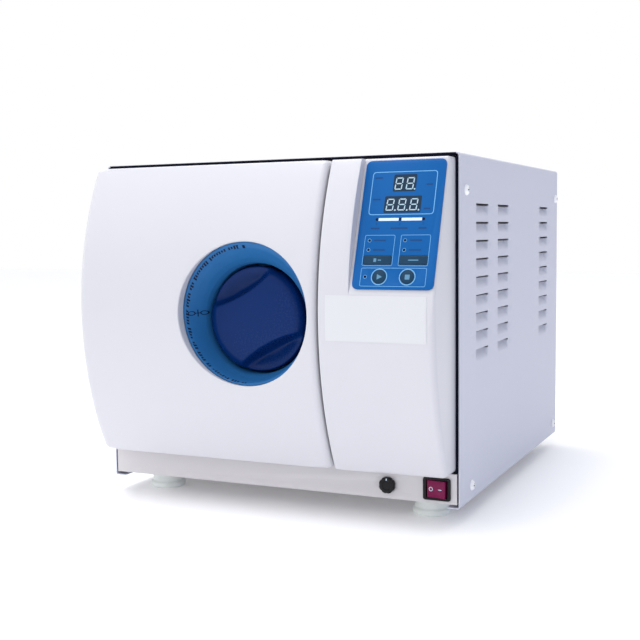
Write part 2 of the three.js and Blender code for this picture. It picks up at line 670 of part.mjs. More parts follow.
const vessel = new THREE.Group();
vessel.position.set(CHAMBER.x, 0, CHAMBER.z);
machine.add(vessel);
add(vessel, "chamber", makeChamber(), stainless);
add(vessel, "heater_band", makeHeater(), heaterRubber);
add(vessel, "insulation_jacket", ring("y", JACKET.inner, JACKET.outer, JACKET.from, JACKET.to), wool);
add(vessel, "tray_rack", makeRack(), stainless);
TRAY.levels.forEach((level, i) => {
  add(vessel, `tray_${i + 1}`, makeTray(), aluminium, [0, RACK.from + 5, level]);
});
add(vessel, "pressure_plate", makePressurePlate(), stainless);
add(vessel, "door_gasket", makeGasket(), siliconeRubber);

add(machine, "door_shell", makeDoorShell(), whitePlastic);
add(machine, "door_core_plate", makeCorePlate(), zinc);
const hinge = new THREE.Group();
hinge.position.set(HINGE.x, HINGE.y, 0);
machine.add(hinge);
for (const [name, level, sign] of [["lower", HINGE.low, 1], ["upper", HINGE.high, -1]]) {
  add(hinge, `hinge_bracket_${name}`, makeBracket(), zinc, [0, 0, level]);
  const start = sign > 0 ? level + HINGE.tall / 2 + 1 : level - HINGE.tall * 1.5 - 1;
  add(hinge, `hinge_arm_${name}`, makeArm(), zinc, [0, 0, start]);
}
add(hinge, "hinge_pin", rod("z", HINGE.pin, HINGE.low - 11, HINGE.high + 11, 16), stainless);

const lock = new THREE.Group();
lock.position.set(AXIS.x, 0, AXIS.z);
machine.add(lock);
add(lock, "door_bowl", makeBowl(), bowlPlastic);
add(lock, "lock_knob", makeKnob(), bluePlastic).rotation.y = turn(-KNOB.tilt);
add(lock, "knob_spindle", makeSpindle(), stainless);
add(lock, "spindle_bush", makeBush(), brass);
add(lock, "cam_disc", makeCam(), zinc);
add(lock, "lock_bar", makeLockBar(), stainless);
add(lock, "bar_guide", makeBarGuide(), zinc);
add(machine, "lock_keeper", makeKeeper(), zinc, [0, 0, AXIS.z]);

add(machine, "control_fascia", makeFascia(), whitePlastic);
machine.add(panelGroup);
add(panelGroup, "membrane_overlay", makeOverlay(), overlayFilm);
addKeys();
add(panelGroup, "control_board", makeControlBoard(), boardGreen);

add(machine, "switch_housing", makeSwitchHousing(), blackPlastic);
add(machine, "power_rocker", makeRocker(), rockerPlastic, [SWITCH.x, SWITCH.pivot, SWITCH.z]);
add(machine, "drain_knob", makeDrainKnob(), blackPlastic, [DRAIN.x, 0, DRAIN.z]);
add(machine, "drain_valve", makeDrainValve(), brass, [DRAIN.x, 0, DRAIN.z]);

add(machine, "water_tank", makeTank(), tankPlastic);
add(machine, "tank_lid", makeLid(), coverPaint);
add(machine, "fan_frame", makeFanFrame(), blackPlastic, [FAN.x, FAN.from, FAN.z]);
add(machine, "fan_rotor", makeFanRotor(), blackPlastic, [FAN.x, FAN.from, FAN.z]);
add(machine, "power_inlet", makeInlet(), blackPlastic, [INLET.x, 0, INLET.z]);
add(machine, "safety_valve", makeSafetyValve(), brass, [VALVE.x, 0, VALVE.z]);
add(machine, "water_pump", makePump(), blackPlastic);
add(machine, "solenoid_valve", makeSolenoid(), brass);
add(machine, "condenser", makeCondenser(), aluminium);

export default autoclave;
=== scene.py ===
# Benchtop steam autoclave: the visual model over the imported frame, in metres.
# Sizes below are millimetres on the machine, with y measured from the front edge of the cover.
import json
import random
from math import asin, atan2, copysign, cos, hypot, pi, radians, sin, sqrt, tan

import bmesh
import bpy
from mathutils import Matrix, Vector

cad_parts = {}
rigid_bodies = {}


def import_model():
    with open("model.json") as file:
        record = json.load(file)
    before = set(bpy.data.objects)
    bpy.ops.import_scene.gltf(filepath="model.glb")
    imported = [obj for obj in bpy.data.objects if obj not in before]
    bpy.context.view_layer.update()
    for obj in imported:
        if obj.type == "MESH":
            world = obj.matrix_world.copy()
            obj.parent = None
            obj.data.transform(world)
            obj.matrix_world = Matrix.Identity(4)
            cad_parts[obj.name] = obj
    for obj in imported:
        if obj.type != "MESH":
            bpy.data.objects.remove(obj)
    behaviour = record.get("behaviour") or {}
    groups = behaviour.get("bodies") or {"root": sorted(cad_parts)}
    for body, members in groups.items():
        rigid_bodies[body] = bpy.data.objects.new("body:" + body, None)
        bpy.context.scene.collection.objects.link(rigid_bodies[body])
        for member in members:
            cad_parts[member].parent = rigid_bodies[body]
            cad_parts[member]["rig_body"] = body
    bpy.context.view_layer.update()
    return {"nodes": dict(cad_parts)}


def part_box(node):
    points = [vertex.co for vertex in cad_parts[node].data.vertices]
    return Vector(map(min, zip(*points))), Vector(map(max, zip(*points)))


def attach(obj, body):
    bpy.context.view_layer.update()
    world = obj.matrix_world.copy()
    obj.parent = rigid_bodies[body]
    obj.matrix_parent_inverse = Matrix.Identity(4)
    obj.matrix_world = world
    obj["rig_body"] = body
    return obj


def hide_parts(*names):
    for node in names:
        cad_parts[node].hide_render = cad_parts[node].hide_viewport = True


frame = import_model()

MM = 0.001
FRONT_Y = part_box("cover")[0].y
SHEET = 1.2

PEAK, EDGE, LOW, HIGH = -69.0, -27.0, 57.5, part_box("door_shell")[1].z / MM
MIDDLE = (LOW + HIGH) / 2
CHORD = (HIGH - LOW) / 2
ARC = (CHORD ** 2 + (EDGE - PEAK) ** 2) / (2 * (EDGE - PEAK))
WALL = 2.5
APERTURE = (-4.0, 229.0, 79.5)
AXIS = (-4.0, 221.4)
BOWL_EDGE = -57.5
CHAMBER = (-62.0, 228.0)
SLOPE = radians(19.45)
PANEL_TOP = (-18.0, 394.7)
TILT = radians(28)


# ---------- materials ----------
def linear(r, g, b):
    values = [c / 255 for c in (r, g, b)]
    return tuple(c / 12.92 if c <= 0.04045 else ((c + 0.055) / 1.055) ** 2.4 for c in values) + (1.0,)


def shade(colour, factor):
    return tuple(min(1.0, c * factor) for c in colour[:3]) + (1.0,)


def material(name, rgb, rough, metal=0.0, vary=0.03, patch=9.0, grain=700.0, bump=0.08, depth=0.00015,
             spread=0.05, stretch=(1, 1, 1), glow=0.0, gloss=0.5):
    """Colour drifts in broad patches, and a fine grain moves the roughness and the normal."""
    made = bpy.data.materials.new(name)
    made.use_nodes = True
    tree = made.node_tree
    link = tree.links.new
    shader = tree.nodes["Principled BSDF"]

    def node(kind, **values):
        new = tree.nodes.new("ShaderNode" + kind)
        for key, value in values.items():
            new.inputs[key.replace("_", " ")].default_value = value
        return new

    where = node("TexCoord")
    mapping = node("Mapping", Scale=stretch)
    link(where.outputs["Object"], mapping.inputs["Vector"])
    broad = node("TexNoise", Scale=patch, Detail=3)
    fine = node("TexNoise", Scale=grain, Detail=2)
    for noise in (broad, fine):
        link(mapping.outputs["Vector"], noise.inputs["Vector"])
    colour = linear(*rgb)
    mix = node("Mix")
    mix.data_type = "RGBA"
    mix.inputs[6].default_value = shade(colour, 1 - vary)
    mix.inputs[7].default_value = shade(colour, 1 + vary)
    link(broad.outputs["Fac"], mix.inputs[0])
    link(mix.outputs[2], shader.inputs["Base Color"])
    both = node("Math")
    both.operation = "ADD"
    link(broad.outputs["Fac"], both.inputs[0])
    link(fine.outputs["Fac"], both.inputs[1])
    span = node("MapRange", From_Min=0.6, From_Max=1.4, To_Min=max(0.02, rough - spread),
                To_Max=min(1.0, rough + spread))
    link(both.outputs[0], span.inputs["Value"])
    link(span.outputs[0], shader.inputs["Roughness"])
    relief = node("Bump", Strength=bump, Distance=depth)
    link(fine.outputs["Fac"], relief.inputs["Height"])
    link(relief.outputs["Normal"], shader.inputs["Normal"])
    shader.inputs["Metallic"].default_value = metal
    shader.inputs["Specular IOR Level"].default_value = gloss
    if glow:
        shader.inputs["Emission Color"].default_value = colour
        shader.inputs["Emission Strength"].default_value = glow
    return made


PAINT = material("cover_paint", (198, 200, 214), 0.5, vary=0.015, grain=520, bump=0.4, depth=0.0003)
STRIP = material("strip_paint", (206, 203, 206), 0.42, vary=0.015, grain=500, bump=0.2, depth=0.0002)
WHITE = material("white_plastic", (206, 206, 213), 0.32, vary=0.008, grain=1400, bump=0.03, depth=0.0001,
                 spread=0.02)
BOWL = material("bowl_blue", (40, 104, 162), 0.42, vary=0.03, grain=900, bump=0.1, gloss=0.2)
KNOB = material("knob_blue", (5, 42, 100), 0.26, vary=0.04, grain=600, bump=0.03, gloss=0.13)
BLACK = material("black_plastic", (12, 12, 17), 0.4, vary=0.1, grain=900, bump=0.15, gloss=0.25)
# painted shade: near-black sheets that stand for the shadow inside the gaps round the front
GAP_SHADE = material("gap_shade_black", (12, 14, 30), 0.9, vary=0.15, grain=1200, bump=0.5, depth=0.0003, gloss=0.1)
FOOT = material("foot_plastic", (240, 246, 243), 0.55, vary=0.02, grain=800, bump=0.15)
OVERLAY = material("overlay_blue", (8, 90, 160), 0.36, vary=0.03, grain=1500, bump=0.06, gloss=0.15)
LINE = material("overlay_line", (112, 176, 226), 0.35, vary=0.03, grain=1500, bump=0.06, gloss=0.2)
TEAL = material("key_teal", (14, 56, 84), 0.38, vary=0.06, grain=1500, bump=0.1, gloss=0.2)
WINDOW = material("window_dark", (18, 46, 68), 0.2, vary=0.08, grain=1500, bump=0.02, gloss=0.2)
DIGIT = material("digit_pale", (172, 200, 216), 0.35, vary=0.02, grain=1500, bump=0.02, glow=0.05)
INK = material("overlay_ink", (8, 66, 122), 0.36, vary=0.05, grain=1500, bump=0.06, gloss=0.2)
DIM = material("key_dim_mark", (92, 140, 172), 0.36, vary=0.05, grain=1500, bump=0.06, gloss=0.2)
MARK = material("mark_navy", (8, 18, 46), 0.45, vary=0.1, grain=1500, bump=0.05, gloss=0.1)
PALE = material("mark_pale", (214, 232, 246), 0.35, vary=0.03, grain=1500, bump=0.04)
ROCKER = material("rocker_red", (118, 12, 68), 0.24, vary=0.06, grain=900, bump=0.05, gloss=0.2)
SCREW = material("screw_white", (246, 247, 250), 0.35, vary=0.02, grain=900, bump=0.1)
LABEL = material("label_foil", (213, 214, 219), 0.3, vary=0.02, grain=1200, bump=0.06)
STEEL = material("stainless", (196, 198, 202), 0.28, metal=1.0, vary=0.05, grain=260, bump=0.12, depth=0.0001,
                 stretch=(1, 14, 1))
TURNED = material("stainless_turned", (196, 198, 202), 0.3, metal=1.0, vary=0.05, grain=240, bump=0.12,
                  depth=0.0001, stretch=(1, 1, 14))
ZINC = material("zinc", (170, 175, 180), 0.38, metal=1.0, vary=0.12, patch=60, grain=500, bump=0.15,
                depth=0.0001)
ALUMINIUM = material("aluminium", (203, 206, 210), 0.36, metal=1.0, vary=0.05, grain=300, bump=0.15,
                     depth=0.0001, stretch=(12, 1, 1))
SILICONE = material("silicone", (217, 214, 204), 0.65, vary=0.03, grain=900, bump=0.1)
HEATER = material("heater_rubber", (143, 74, 42), 0.7, vary=0.1, grain=500, bump=0.3)
WOOL = material("wool", (216, 210, 189), 0.95, vary=0.12, patch=40, grain=300, bump=0.8, depth=0.001)
BRASS = material("brass", (190, 152, 82), 0.33, metal=1.0, vary=0.08, patch=50, grain=600, bump=0.1,
                 depth=0.0001)
TANK = material("tank_plastic", (230, 232, 230), 0.4, vary=0.02, grain=600, bump=0.1)
BOARD = material("board_green", (31, 90, 56), 0.45, vary=0.15, patch=120, grain=900, bump=0.2)


# ---------- mesh building ----------
def spot(p):
    return Vector((p[0] * MM, FRONT_Y + p[1] * MM, p[2] * MM))


def smooth(mesh, sharp):
    for face in mesh.polygons:
        face.use_smooth = True
    mesh.set_sharp_from_angle(angle=radians(sharp))


def tidy(mesh, sharp, open_shell=False):
    """Merges what coincides, turns faces outwards, and marks edges over the angle sharp."""
    work = bmesh.new()
    work.from_mesh(mesh)
    bmesh.ops.remove_doubles(work, verts=work.verts, dist=4e-6)
    bmesh.ops.dissolve_degenerate(work, dist=1e-6, edges=work.edges)
    bmesh.ops.recalc_face_normals(work, faces=work.faces)
    if open_shell:
        centre = sum((v.co for v in work.verts), Vector()) / len(work.verts)
        flux = sum(f.normal.dot(f.calc_center_median() - centre) * f.calc_area() for f in work.faces)
        if flux < 0:
            bmesh.ops.reverse_faces(work, faces=work.faces)
    work.to_mesh(mesh)
    work.free()
    smooth(mesh, sharp)


def settle(obj, sharp):
    """Applies the object's modifiers to its mesh."""
    graph = bpy.context.evaluated_depsgraph_get()
    mesh = bpy.data.meshes.new_from_object(obj.evaluated_get(graph))
    obj.modifiers.clear()
    obj.data = mesh
    smooth(mesh, sharp)


def piece(name, parts, look, body, nodes=(), sharp=32, wall=0.0, even=True):
    """One mesh from lists of (points, faces), riding on a body. A wall thickens its surface inwards."""
    points, faces = [], []
    for some_points, some_faces in parts:
        start = len(points)
        points += [spot(p) for p in some_points]
        faces += [tuple(i + start for i in face) for face in some_faces]
    mesh = bpy.data.meshes.new(name)
    mesh.from_pydata(points, [], faces)
    tidy(mesh, sharp, open_shell=wall > 0)
    obj = bpy.data.objects.new(name, mesh)
    bpy.context.collection.objects.link(obj)
    mesh.materials.append(look)
    if wall:
        shell = obj.modifiers.new("wall", "SOLIDIFY")
        shell.thickness = wall * MM
        shell.offset = -1
        shell.use_even_offset = even
        settle(obj, sharp)
    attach(obj, body)
    if nodes:
        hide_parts(*nodes)


def soften(points, radius, steps=3, closed=False):
    """A polyline with its corners rounded by about that radius, one number or one for each point."""
    out = []
    for i, here in enumerate(points):
        r = radius[i] if isinstance(radius, (list, tuple)) else radius
        if (not closed and i in (0, len(points) - 1)) or r <= 0:
            out.append(tuple(here))
            continue
        p = Vector(here)
        a, c = Vector(points[i - 1]) - p, Vector(points[(i + 1) % len(points)]) - p
        if a.length < 1e-6 or c.length < 1e-6:
            out.append(tuple(here))
            continue
        turn = pi - a.angle(c)
        back = min(r * tan(turn / 2), a.length * 0.48, c.length * 0.48)
        start, end = p + a.normalized() * back, p + c.normalized() * back
        for s in range(steps + 1):
            t = s / steps
            out.append(tuple(start * (1 - t) ** 2 + p * 2 * t * (1 - t) + end * t ** 2))
    return out


def arc(cx, cy, r, a0, a1, steps):
    return [(cx + r * cos(radians(a0 + (a1 - a0) * i / steps)),
             cy + r * sin(radians(a0 + (a1 - a0) * i / steps))) for i in range(steps + 1)]


def circle(cx, cy, r, steps=24):
    return arc(cx, cy, r, 0, 360, steps)[:-1]


def box_loop(u0, u1, v0, v1, r=0.0, steps=4):
    corners = [(u0, v0), (u1, v0), (u1, v1), (u0, v1)]
    return soften(corners, r, steps, closed=True) if r else corners


def lathe(profile, centre, axis="y", segments=96):
    """(distance from the axis, distance along it) turned about the axis through centre."""
    points, faces, n = [], [], len(profile)
    for i in range(segments):
        angle = 2 * pi * i / segments
        for r, h in profile:
            u, v = r * cos(angle), r * sin(angle)
            shift = (u, h, v) if axis == "y" else (u, v, h)
            points.append(tuple(a + b for a, b in zip(centre, shift)))
    for i in range(segments):
        j = (i + 1) % segments
        faces += [(i * n + k, i * n + k + 1, j * n + k + 1, j * n + k) for k in range(n - 1)]
    return points, faces


def plate(loops, thick, onto, bevel=0.0):
    """A flat piece inside the first outline, less the others. onto(u, v, height) places each point."""
    curve = bpy.data.curves.new("plate", "CURVE")
    curve.dimensions = "2D"
    curve.fill_mode = "BOTH"
    curve.extrude = thick / 2 - bevel
    curve.bevel_depth = bevel
    curve.bevel_resolution = 1
    curve.offset = -bevel
    for loop in loops:
        spline = curve.splines.new("POLY")
        spline.points.add(len(loop) - 1)
        for point, (u, v) in zip(spline.points, loop):
            point.co = (u, v, 0, 1)
        spline.use_cyclic_u = True
    obj = bpy.data.objects.new("plate", curve)
    bpy.context.collection.objects.link(obj)
    bpy.context.view_layer.update()
    mesh = bpy.data.meshes.new_from_object(obj.evaluated_get(bpy.context.evaluated_depsgraph_get()))
    points = [onto(v.co.x, v.co.y, v.co.z + thick / 2) for v in mesh.vertices]
    faces = [tuple(f.vertices) for f in mesh.polygons]
    bpy.data.objects.remove(obj)
    bpy.data.curves.remove(curve)
    bpy.data.meshes.remove(mesh)
    return points, faces


def facing(y):
    """Outlines in (x, z) stand on the plane at y and rise to the front."""
    return lambda u, v, h: (u, y - h, v)


def behind(y):
    return lambda u, v, h: (u, y + h, v)


def on_panel(n):
    """Outlines in (x, distance down the flat) stand n out from the inclined flat."""
    c, s = cos(SLOPE), sin(SLOPE)
    return lambda u, v, h: (u, PANEL_TOP[0] - s * v - c * (n + h), PANEL_TOP[1] - c * v + s * (n + h))


def sheet_of(columns):
    """Quads between neighbouring columns of points."""
    points = [p for column in columns for p in column]
    n = len(columns[0])
    faces = [(i * n + k, i * n + k + 1, (i + 1) * n + k + 1, (i + 1) * n + k)
             for i in range(len(columns) - 1) for k in range(n - 1)]
    return points, faces


def cuboid(x0, x1, y0, y1, z0, z1):
    points = [(x, y, z) for x in (x0, x1) for y in (y0, y1) for z in (z0, z1)]
    return points, [(0, 1, 3, 2), (4, 6, 7, 5), (0, 4, 5, 1), (2, 3, 7, 6), (0, 2, 6, 4), (1, 5, 7, 3)]


def refined(node, look, bevel, sharp=32):
    """A CAD node's own shape with its edges rounded, standing for the node on the same body."""
    source = frame["nodes"][node]
    obj = bpy.data.objects.new(node + "_finished", source.data.copy())
    bpy.context.collection.objects.link(obj)
    work = bmesh.new()
    work.from_mesh(obj.data)
    bmesh.ops.remove_doubles(work, verts=work.verts, dist=1e-5)
    bmesh.ops.dissolve_limit(work, angle_limit=radians(1), verts=work.verts, edges=work.edges)
    work.to_mesh(obj.data)
    work.free()
    edge = obj.modifiers.new("bevel", "BEVEL")
    edge.width = bevel * MM
    edge.segments = 2
    edge.limit_method = "ANGLE"
    edge.angle_limit = radians(sharp)
    settle(obj, sharp)
    obj.data.materials.clear()
    obj.data.materials.append(look)
    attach(obj, source["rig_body"])
    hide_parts(node)


# ---------- camera, light and floor ----------
forward = Vector((-0.41725, 0.90476, -0.08548)).normalized()
sideways = forward.cross(Vector((0, 0, 1))).normalized()
roll = asin(-0.01144)
right = sideways * cos(roll) + sideways.cross(forward) * sin(roll)
camera = bpy.data.objects.new("camera", bpy.data.cameras.new("camera"))
camera.data.lens = 60
camera.data.sensor_width = 36
camera.data.clip_end = 50
bpy.context.collection.objects.link(camera)
basis = Matrix((right, right.cross(forward), -forward)).transposed().to_4x4()
camera.matrix_world = Matrix.Translation(spot((559.0, -1082.4, 321.7))) @ basis
bpy.context.scene.camera = camera
bpy.context.scene.view_settings.view_transform = "Standard"


def area(name, place, target, size, power, tint=(1, 1, 1)):
    light = bpy.data.lights.new(name, "AREA")
    light.shape = "RECTANGLE"
    light.size, light.size_y = size
    light.energy = power
    light.color = tint
    obj = bpy.data.objects.new(name, light)
    bpy.context.collection.objects.link(obj)
    obj.location = place
    obj.rotation_euler = (Vector(target) - Vector(place)).to_track_quat("-Z", "Y").to_euler()


area("key", (-1.3, -2.4, 2.2), (0, 0, 0.2), (1.8, 1.6), 5, (1.0, 0.99, 0.98))
area("top", (-0.5, -0.3, 2.5), (0, 0, 0.3), (2.0, 1.6), 40)

world = bpy.data.worlds.new("studio")
bpy.context.scene.world = world
world.use_nodes = True
sky = world.node_tree
toward = sky.nodes.new("ShaderNodeTexCoord")
split = sky.nodes.new("ShaderNodeSeparateXYZ")
fade = sky.nodes.new("ShaderNodeMapRange")
fade.interpolation_type = "SMOOTHSTEP"
fade.inputs["From Min"].default_value = 0.1
fade.inputs["From Max"].default_value = 0.85
tone = sky.nodes.new("ShaderNodeMix")
tone.data_type = "RGBA"
tone.inputs[6].default_value = (1.0, 1.0, 1.0, 1)
tone.inputs[7].default_value = (0.46, 0.50, 0.63, 1)  # the right of the studio is dimmer and cooler
sky.links.new(toward.outputs["Generated"], split.inputs[0])
sky.links.new(split.outputs["X"], fade.inputs["Value"])
sky.links.new(fade.outputs[0], tone.inputs[0])
sky.links.new(tone.outputs[2], sky.nodes["Background"].inputs["Color"])
sky.nodes["Background"].inputs["Strength"].default_value = 1.0

REACH = 6  # metres from the middle of the floor to its edges
floor_mesh = bpy.data.meshes.new("floor")
floor_mesh.from_pydata([(-REACH, -REACH, 0), (REACH, -REACH, 0), (REACH, REACH, 0), (-REACH, REACH, 0)], [],
                       [(0, 1, 2, 3)])
floor = bpy.data.objects.new("floor", floor_mesh)
bpy.context.collection.objects.link(floor)
FLOOR = material("floor", (253, 253, 254), 0.8, vary=0.004, grain=60, bump=0.02, glow=0.1)
floor_mesh.materials.append(FLOOR)


# ---------- the cover: one folded sheet with pressed louvres ----------
HALF, TOP, DEPTH, BOTTOM = 222.5, 400.0, 470.0, 19.0
LOUVRE_STARTS, LOUVRE_LONG = (61, 150, 359.5), 49.0
LOUVRE_TOPS = [347.4 - 20.25 * row for row in range(9)]
SLIT, PRESSED, TALL = 2.2, 5.2, 13.6
LID = (106.0, 210.0, 236.0, 324.0)


def ramp(t):
    t = min(max(t, 0.0), 1.0)
    return t * t * (3 - 2 * t)


def pressed_in(y, z):
    """How far the side is pressed inwards by a louvre at this place."""
    for top in LOUVRE_TOPS:
        down = top - z
        if not SLIT - 0.01 <= down <= TALL:
            continue
        for start in LOUVRE_STARTS:
            if start < y < start + LOUVRE_LONG:
                ends = min(ramp((y - start) / 3.6), ramp((start + LOUVRE_LONG - y) / 3.6))
                fall = (down - SLIT) / (TALL - SLIT)
                return PRESSED * ends * (1 - ramp(fall)) * (1 - 0.15 * fall)
    return 0.0


def make_cover():
    # Rows and columns lie close together where a louvre starts and ends.
    ys = {0.0, DEPTH, LID[2], LID[3], 30.0, 130.0, 220.0, 280.0, 430.0}
    for start in LOUVRE_STARTS:
        ys |= {start + d for d in (0, 0.8, 1.6, 2.5, 3.6, 15, 34, 45.4, 46.5, 47.4, 48.2, 49)}
    ys = sorted(ys)
    zs = {BOTTOM + 3, 40.0, 80.0, 130.0, 396.0, 375.0}
    for top in LOUVRE_TOPS:
        zs |= {top - d for d in (0, SLIT, 4.0, 5.8, 7.8, 9.8, 11.6, 12.8, TALL)}
    zs = sorted(zs)
    bend = 4.0
    side = [(HALF - 14, BOTTOM), (HALF - 1.5, BOTTOM), (HALF, BOTTOM + 1.5)] + [(HALF, z) for z in zs[:-1]]
    xs = [-200, -100, 0, LID[0], 160, LID[1]]
    right_half = side + arc(HALF - bend, TOP - bend, bend, 0, 90, 6)
    left_half = [(-x, z) for x, z in reversed(right_half)]
    section = right_half + [(x, TOP) for x in reversed(xs)] + left_half
    columns = []
    for y in ys:
        column = []
        for x, z in section:
            depth = pressed_in(y, z) if abs(x) == HALF else 0.0
            column.append((x - copysign(depth, x), y, z))
        columns.append(column)
    points, faces = sheet_of(columns)
    keep = []
    for face in faces:
        spots = [points[i] for i in face]
        middle = [sum(p[k] for p in spots) / 4 for k in range(3)]
        slit = (abs(middle[0]) > HALF - 6 and any(top - SLIT < middle[2] < top for top in LOUVRE_TOPS)
                and any(s < middle[1] < s + LOUVRE_LONG for s in LOUVRE_STARTS))
        lid = middle[2] > TOP - 0.1 and LID[0] < middle[0] < LID[1] and LID[2] < middle[1] < LID[3]
        if not slit and not lid:
            keep.append(face)
    piece("cover_sheet", [(points, keep)], PAINT, "machine", ["cover"], wall=SHEET, sharp=38)


make_cover()


# ---------- the bulging front ----------
CORNER_STEPS = 5
SIDE_FROM = -36.0  # y where the top and bottom of the front turn from the corners' rows to plain strips


def front_y(z, inset=0, flat=False):
    y = PEAK + ARC - sqrt(max((ARC - inset) ** 2 - (z - MIDDLE) ** 2, 0))
    if flat:
        plane = PANEL_TOP[0] - (PANEL_TOP[1] - z) * tan(SLOPE) + inset / cos(SLOPE)
        y = max(y, plane)
    return y


def side_view(inset, round_low, round_high, back, z_lines, flat=False):
    """The front seen from the side, in (y, z) from the lower to the upper back edge, moved in by inset."""
    def corner(z, toward, radius):
        y = front_y(z, inset, flat)
        p = Vector((y, z))
        tangent = (Vector((front_y(z + toward, inset, flat), z + toward)) - p).normalized()
        turn = pi - tangent.angle(Vector((1, 0)))
        reach = max(radius - inset, 0) * tan(turn / 2)
        start, end = p + Vector((reach, 0)), p + tangent * reach
        shares = [i / CORNER_STEPS for i in range(CORNER_STEPS + 1)]
        return [start * (1 - t) ** 2 + p * 2 * t * (1 - t) + end * t ** 2 for t in shares]

    low_corner = corner(LOW + inset, 4, round_low)
    high_corner = list(reversed(corner(HIGH - inset, -4, round_high)))
    low_mid = max(SIDE_FROM, low_corner[0][0] + 1)
    high_mid = max(SIDE_FROM, high_corner[-1][0] + 1)
    line = [(back, LOW + inset), (low_mid, LOW + inset)] + [tuple(p) for p in low_corner]
    line += [(front_y(z, inset, flat), z) for z in z_lines]
    line += [tuple(p) for p in high_corner] + [(high_mid, HIGH - inset), (back, HIGH - inset)]
    return line


def end_wall(x, line, back, stations, z_lines, skip=()):
    """The flat side of the front at x, behind the outline line, with openings left out."""
    corner_end = 2 + CORNER_STEPS
    rows = [line[corner_end]] + [(y, z) for y, z in line if z in z_lines] + [line[-corner_end - 1]]
    columns = []
    for y, z in rows:
        marks = [y] + [max(s, y + 1 + 0.5 * i) for i, s in enumerate(stations)] + [back]
        columns.append([(x, m, z) for m in marks])
    points, faces = sheet_of(columns)
    kept = []
    for face in faces:
        y = sum(points[i][1] for i in face) / 4
        z = sum(points[i][2] for i in face) / 4
        if not any(y0 < y < y1 and z0 < z < z1 for y0, y1, z0, z1 in skip):
            kept.append(face)
    return points, kept


def make_door():
    left, right_x, back = -220.4, 85.8, -2.0
    ax, az, ar = APERTURE
    block_half, cells = 81.8, 24
    block_z = [az + block_half * (2 * k / cells - 1) for k in range(cells + 1)]
    z_lines = sorted(set([71.5, 80.0, 90.0, 101.0, 112.0, 123.0, 135.0, 322.0, 333.0, 344.0, 355.0, 368.0,
                          HIGH - 14] + block_z))
    block_x = [ax + block_half * (2 * k / cells - 1) for k in range(cells + 1)]
    corner, seam = 9.0, 8.0
    soft = 3.0
    stations = []
    quarter = [pi / 2 * k / 8 for k in range(9)]
    for turn in quarter:
        stations.append((left + corner * (1 - cos(turn)), corner * (1 - sin(turn)), corner))
    for x in (-205.0, -198.0, -190.0, -170.0, -140.0, -112.0):
        blend_in = ramp((x - left - corner) / 16)
        stations.append((x, 0.0, corner + (soft - corner) * blend_in))
    for x in block_x:
        blend_out = ramp((block_x[-1] - x) / 16)
        stations.append((x, 0.0, seam + (soft - seam) * blend_out))
    for turn in quarter[1:]:
        stations.append((right_x - seam * (1 - sin(turn)), seam * (1 - cos(turn)), seam))
    lines = [side_view(inset, rounding, rounding, back, z_lines) for _, inset, rounding in stations]
    columns = [[(x, y, z) for y, z in line] for (x, _, _), line in zip(stations, lines)]
    points, faces = sheet_of(columns)
    kept = []
    for face in faces:
        x = sum(points[i][0] for i in face) / 4
        z = sum(points[i][2] for i in face) / 4
        y = sum(points[i][1] for i in face) / 4
        inside = abs(x - ax) < block_half and abs(z - az) < block_half and y < -40
        if not inside:
            kept.append(face)
    # Round the aperture, rings run from the square block in to the rim and back along a short tube.
    edge_loop = [(x, block_z[0]) for x in block_x[:-1]] + [(block_x[-1], z) for z in block_z[:-1]]
    edge_loop += [(x, block_z[-1]) for x in reversed(block_x[1:])]
    edge_loop += [(block_x[0], z) for z in reversed(block_z[1:])]
    rim = 1.6
    rings = []
    for x, z in edge_loop:
        angle = atan2(z - az, x - ax)
        reach = hypot(x - ax, z - az)
        c, s = cos(angle), sin(angle)
        ring_points = [(x, front_y(z), z)]
        for t in (0.35, 0.7):
            r = reach + (ar + rim - reach) * t
            ring_points.append((ax + r * c, front_y(az + r * s), az + r * s))
        base = front_y(az + ar * s)
        for i in range(5):
            turn = pi / 2 * i / 4
            r = ar + rim * (1 - sin(turn))
            y = front_y(az + r * s) + rim * (1 - cos(turn))
            ring_points.append((ax + r * c, y, az + r * s))
        ring_points.append((ax + ar * c, max(BOWL_EDGE, base + rim + 0.4), az + ar * s))
        rings.append(ring_points)
    notches = [(SIDE_FROM - 1, 1, level - 11, level + 11) for level in (112, 344)]  # for the hinge arms
    parts = [(points, kept), sheet_of(rings + [rings[0]]),
             end_wall(left, lines[0], back, (SIDE_FROM,), z_lines, notches),
             end_wall(right_x, lines[-1], back, (SIDE_FROM,), z_lines)]
    piece("door_panel", parts, WHITE, "door", ["door_shell"], wall=WALL, sharp=35)


make_door()


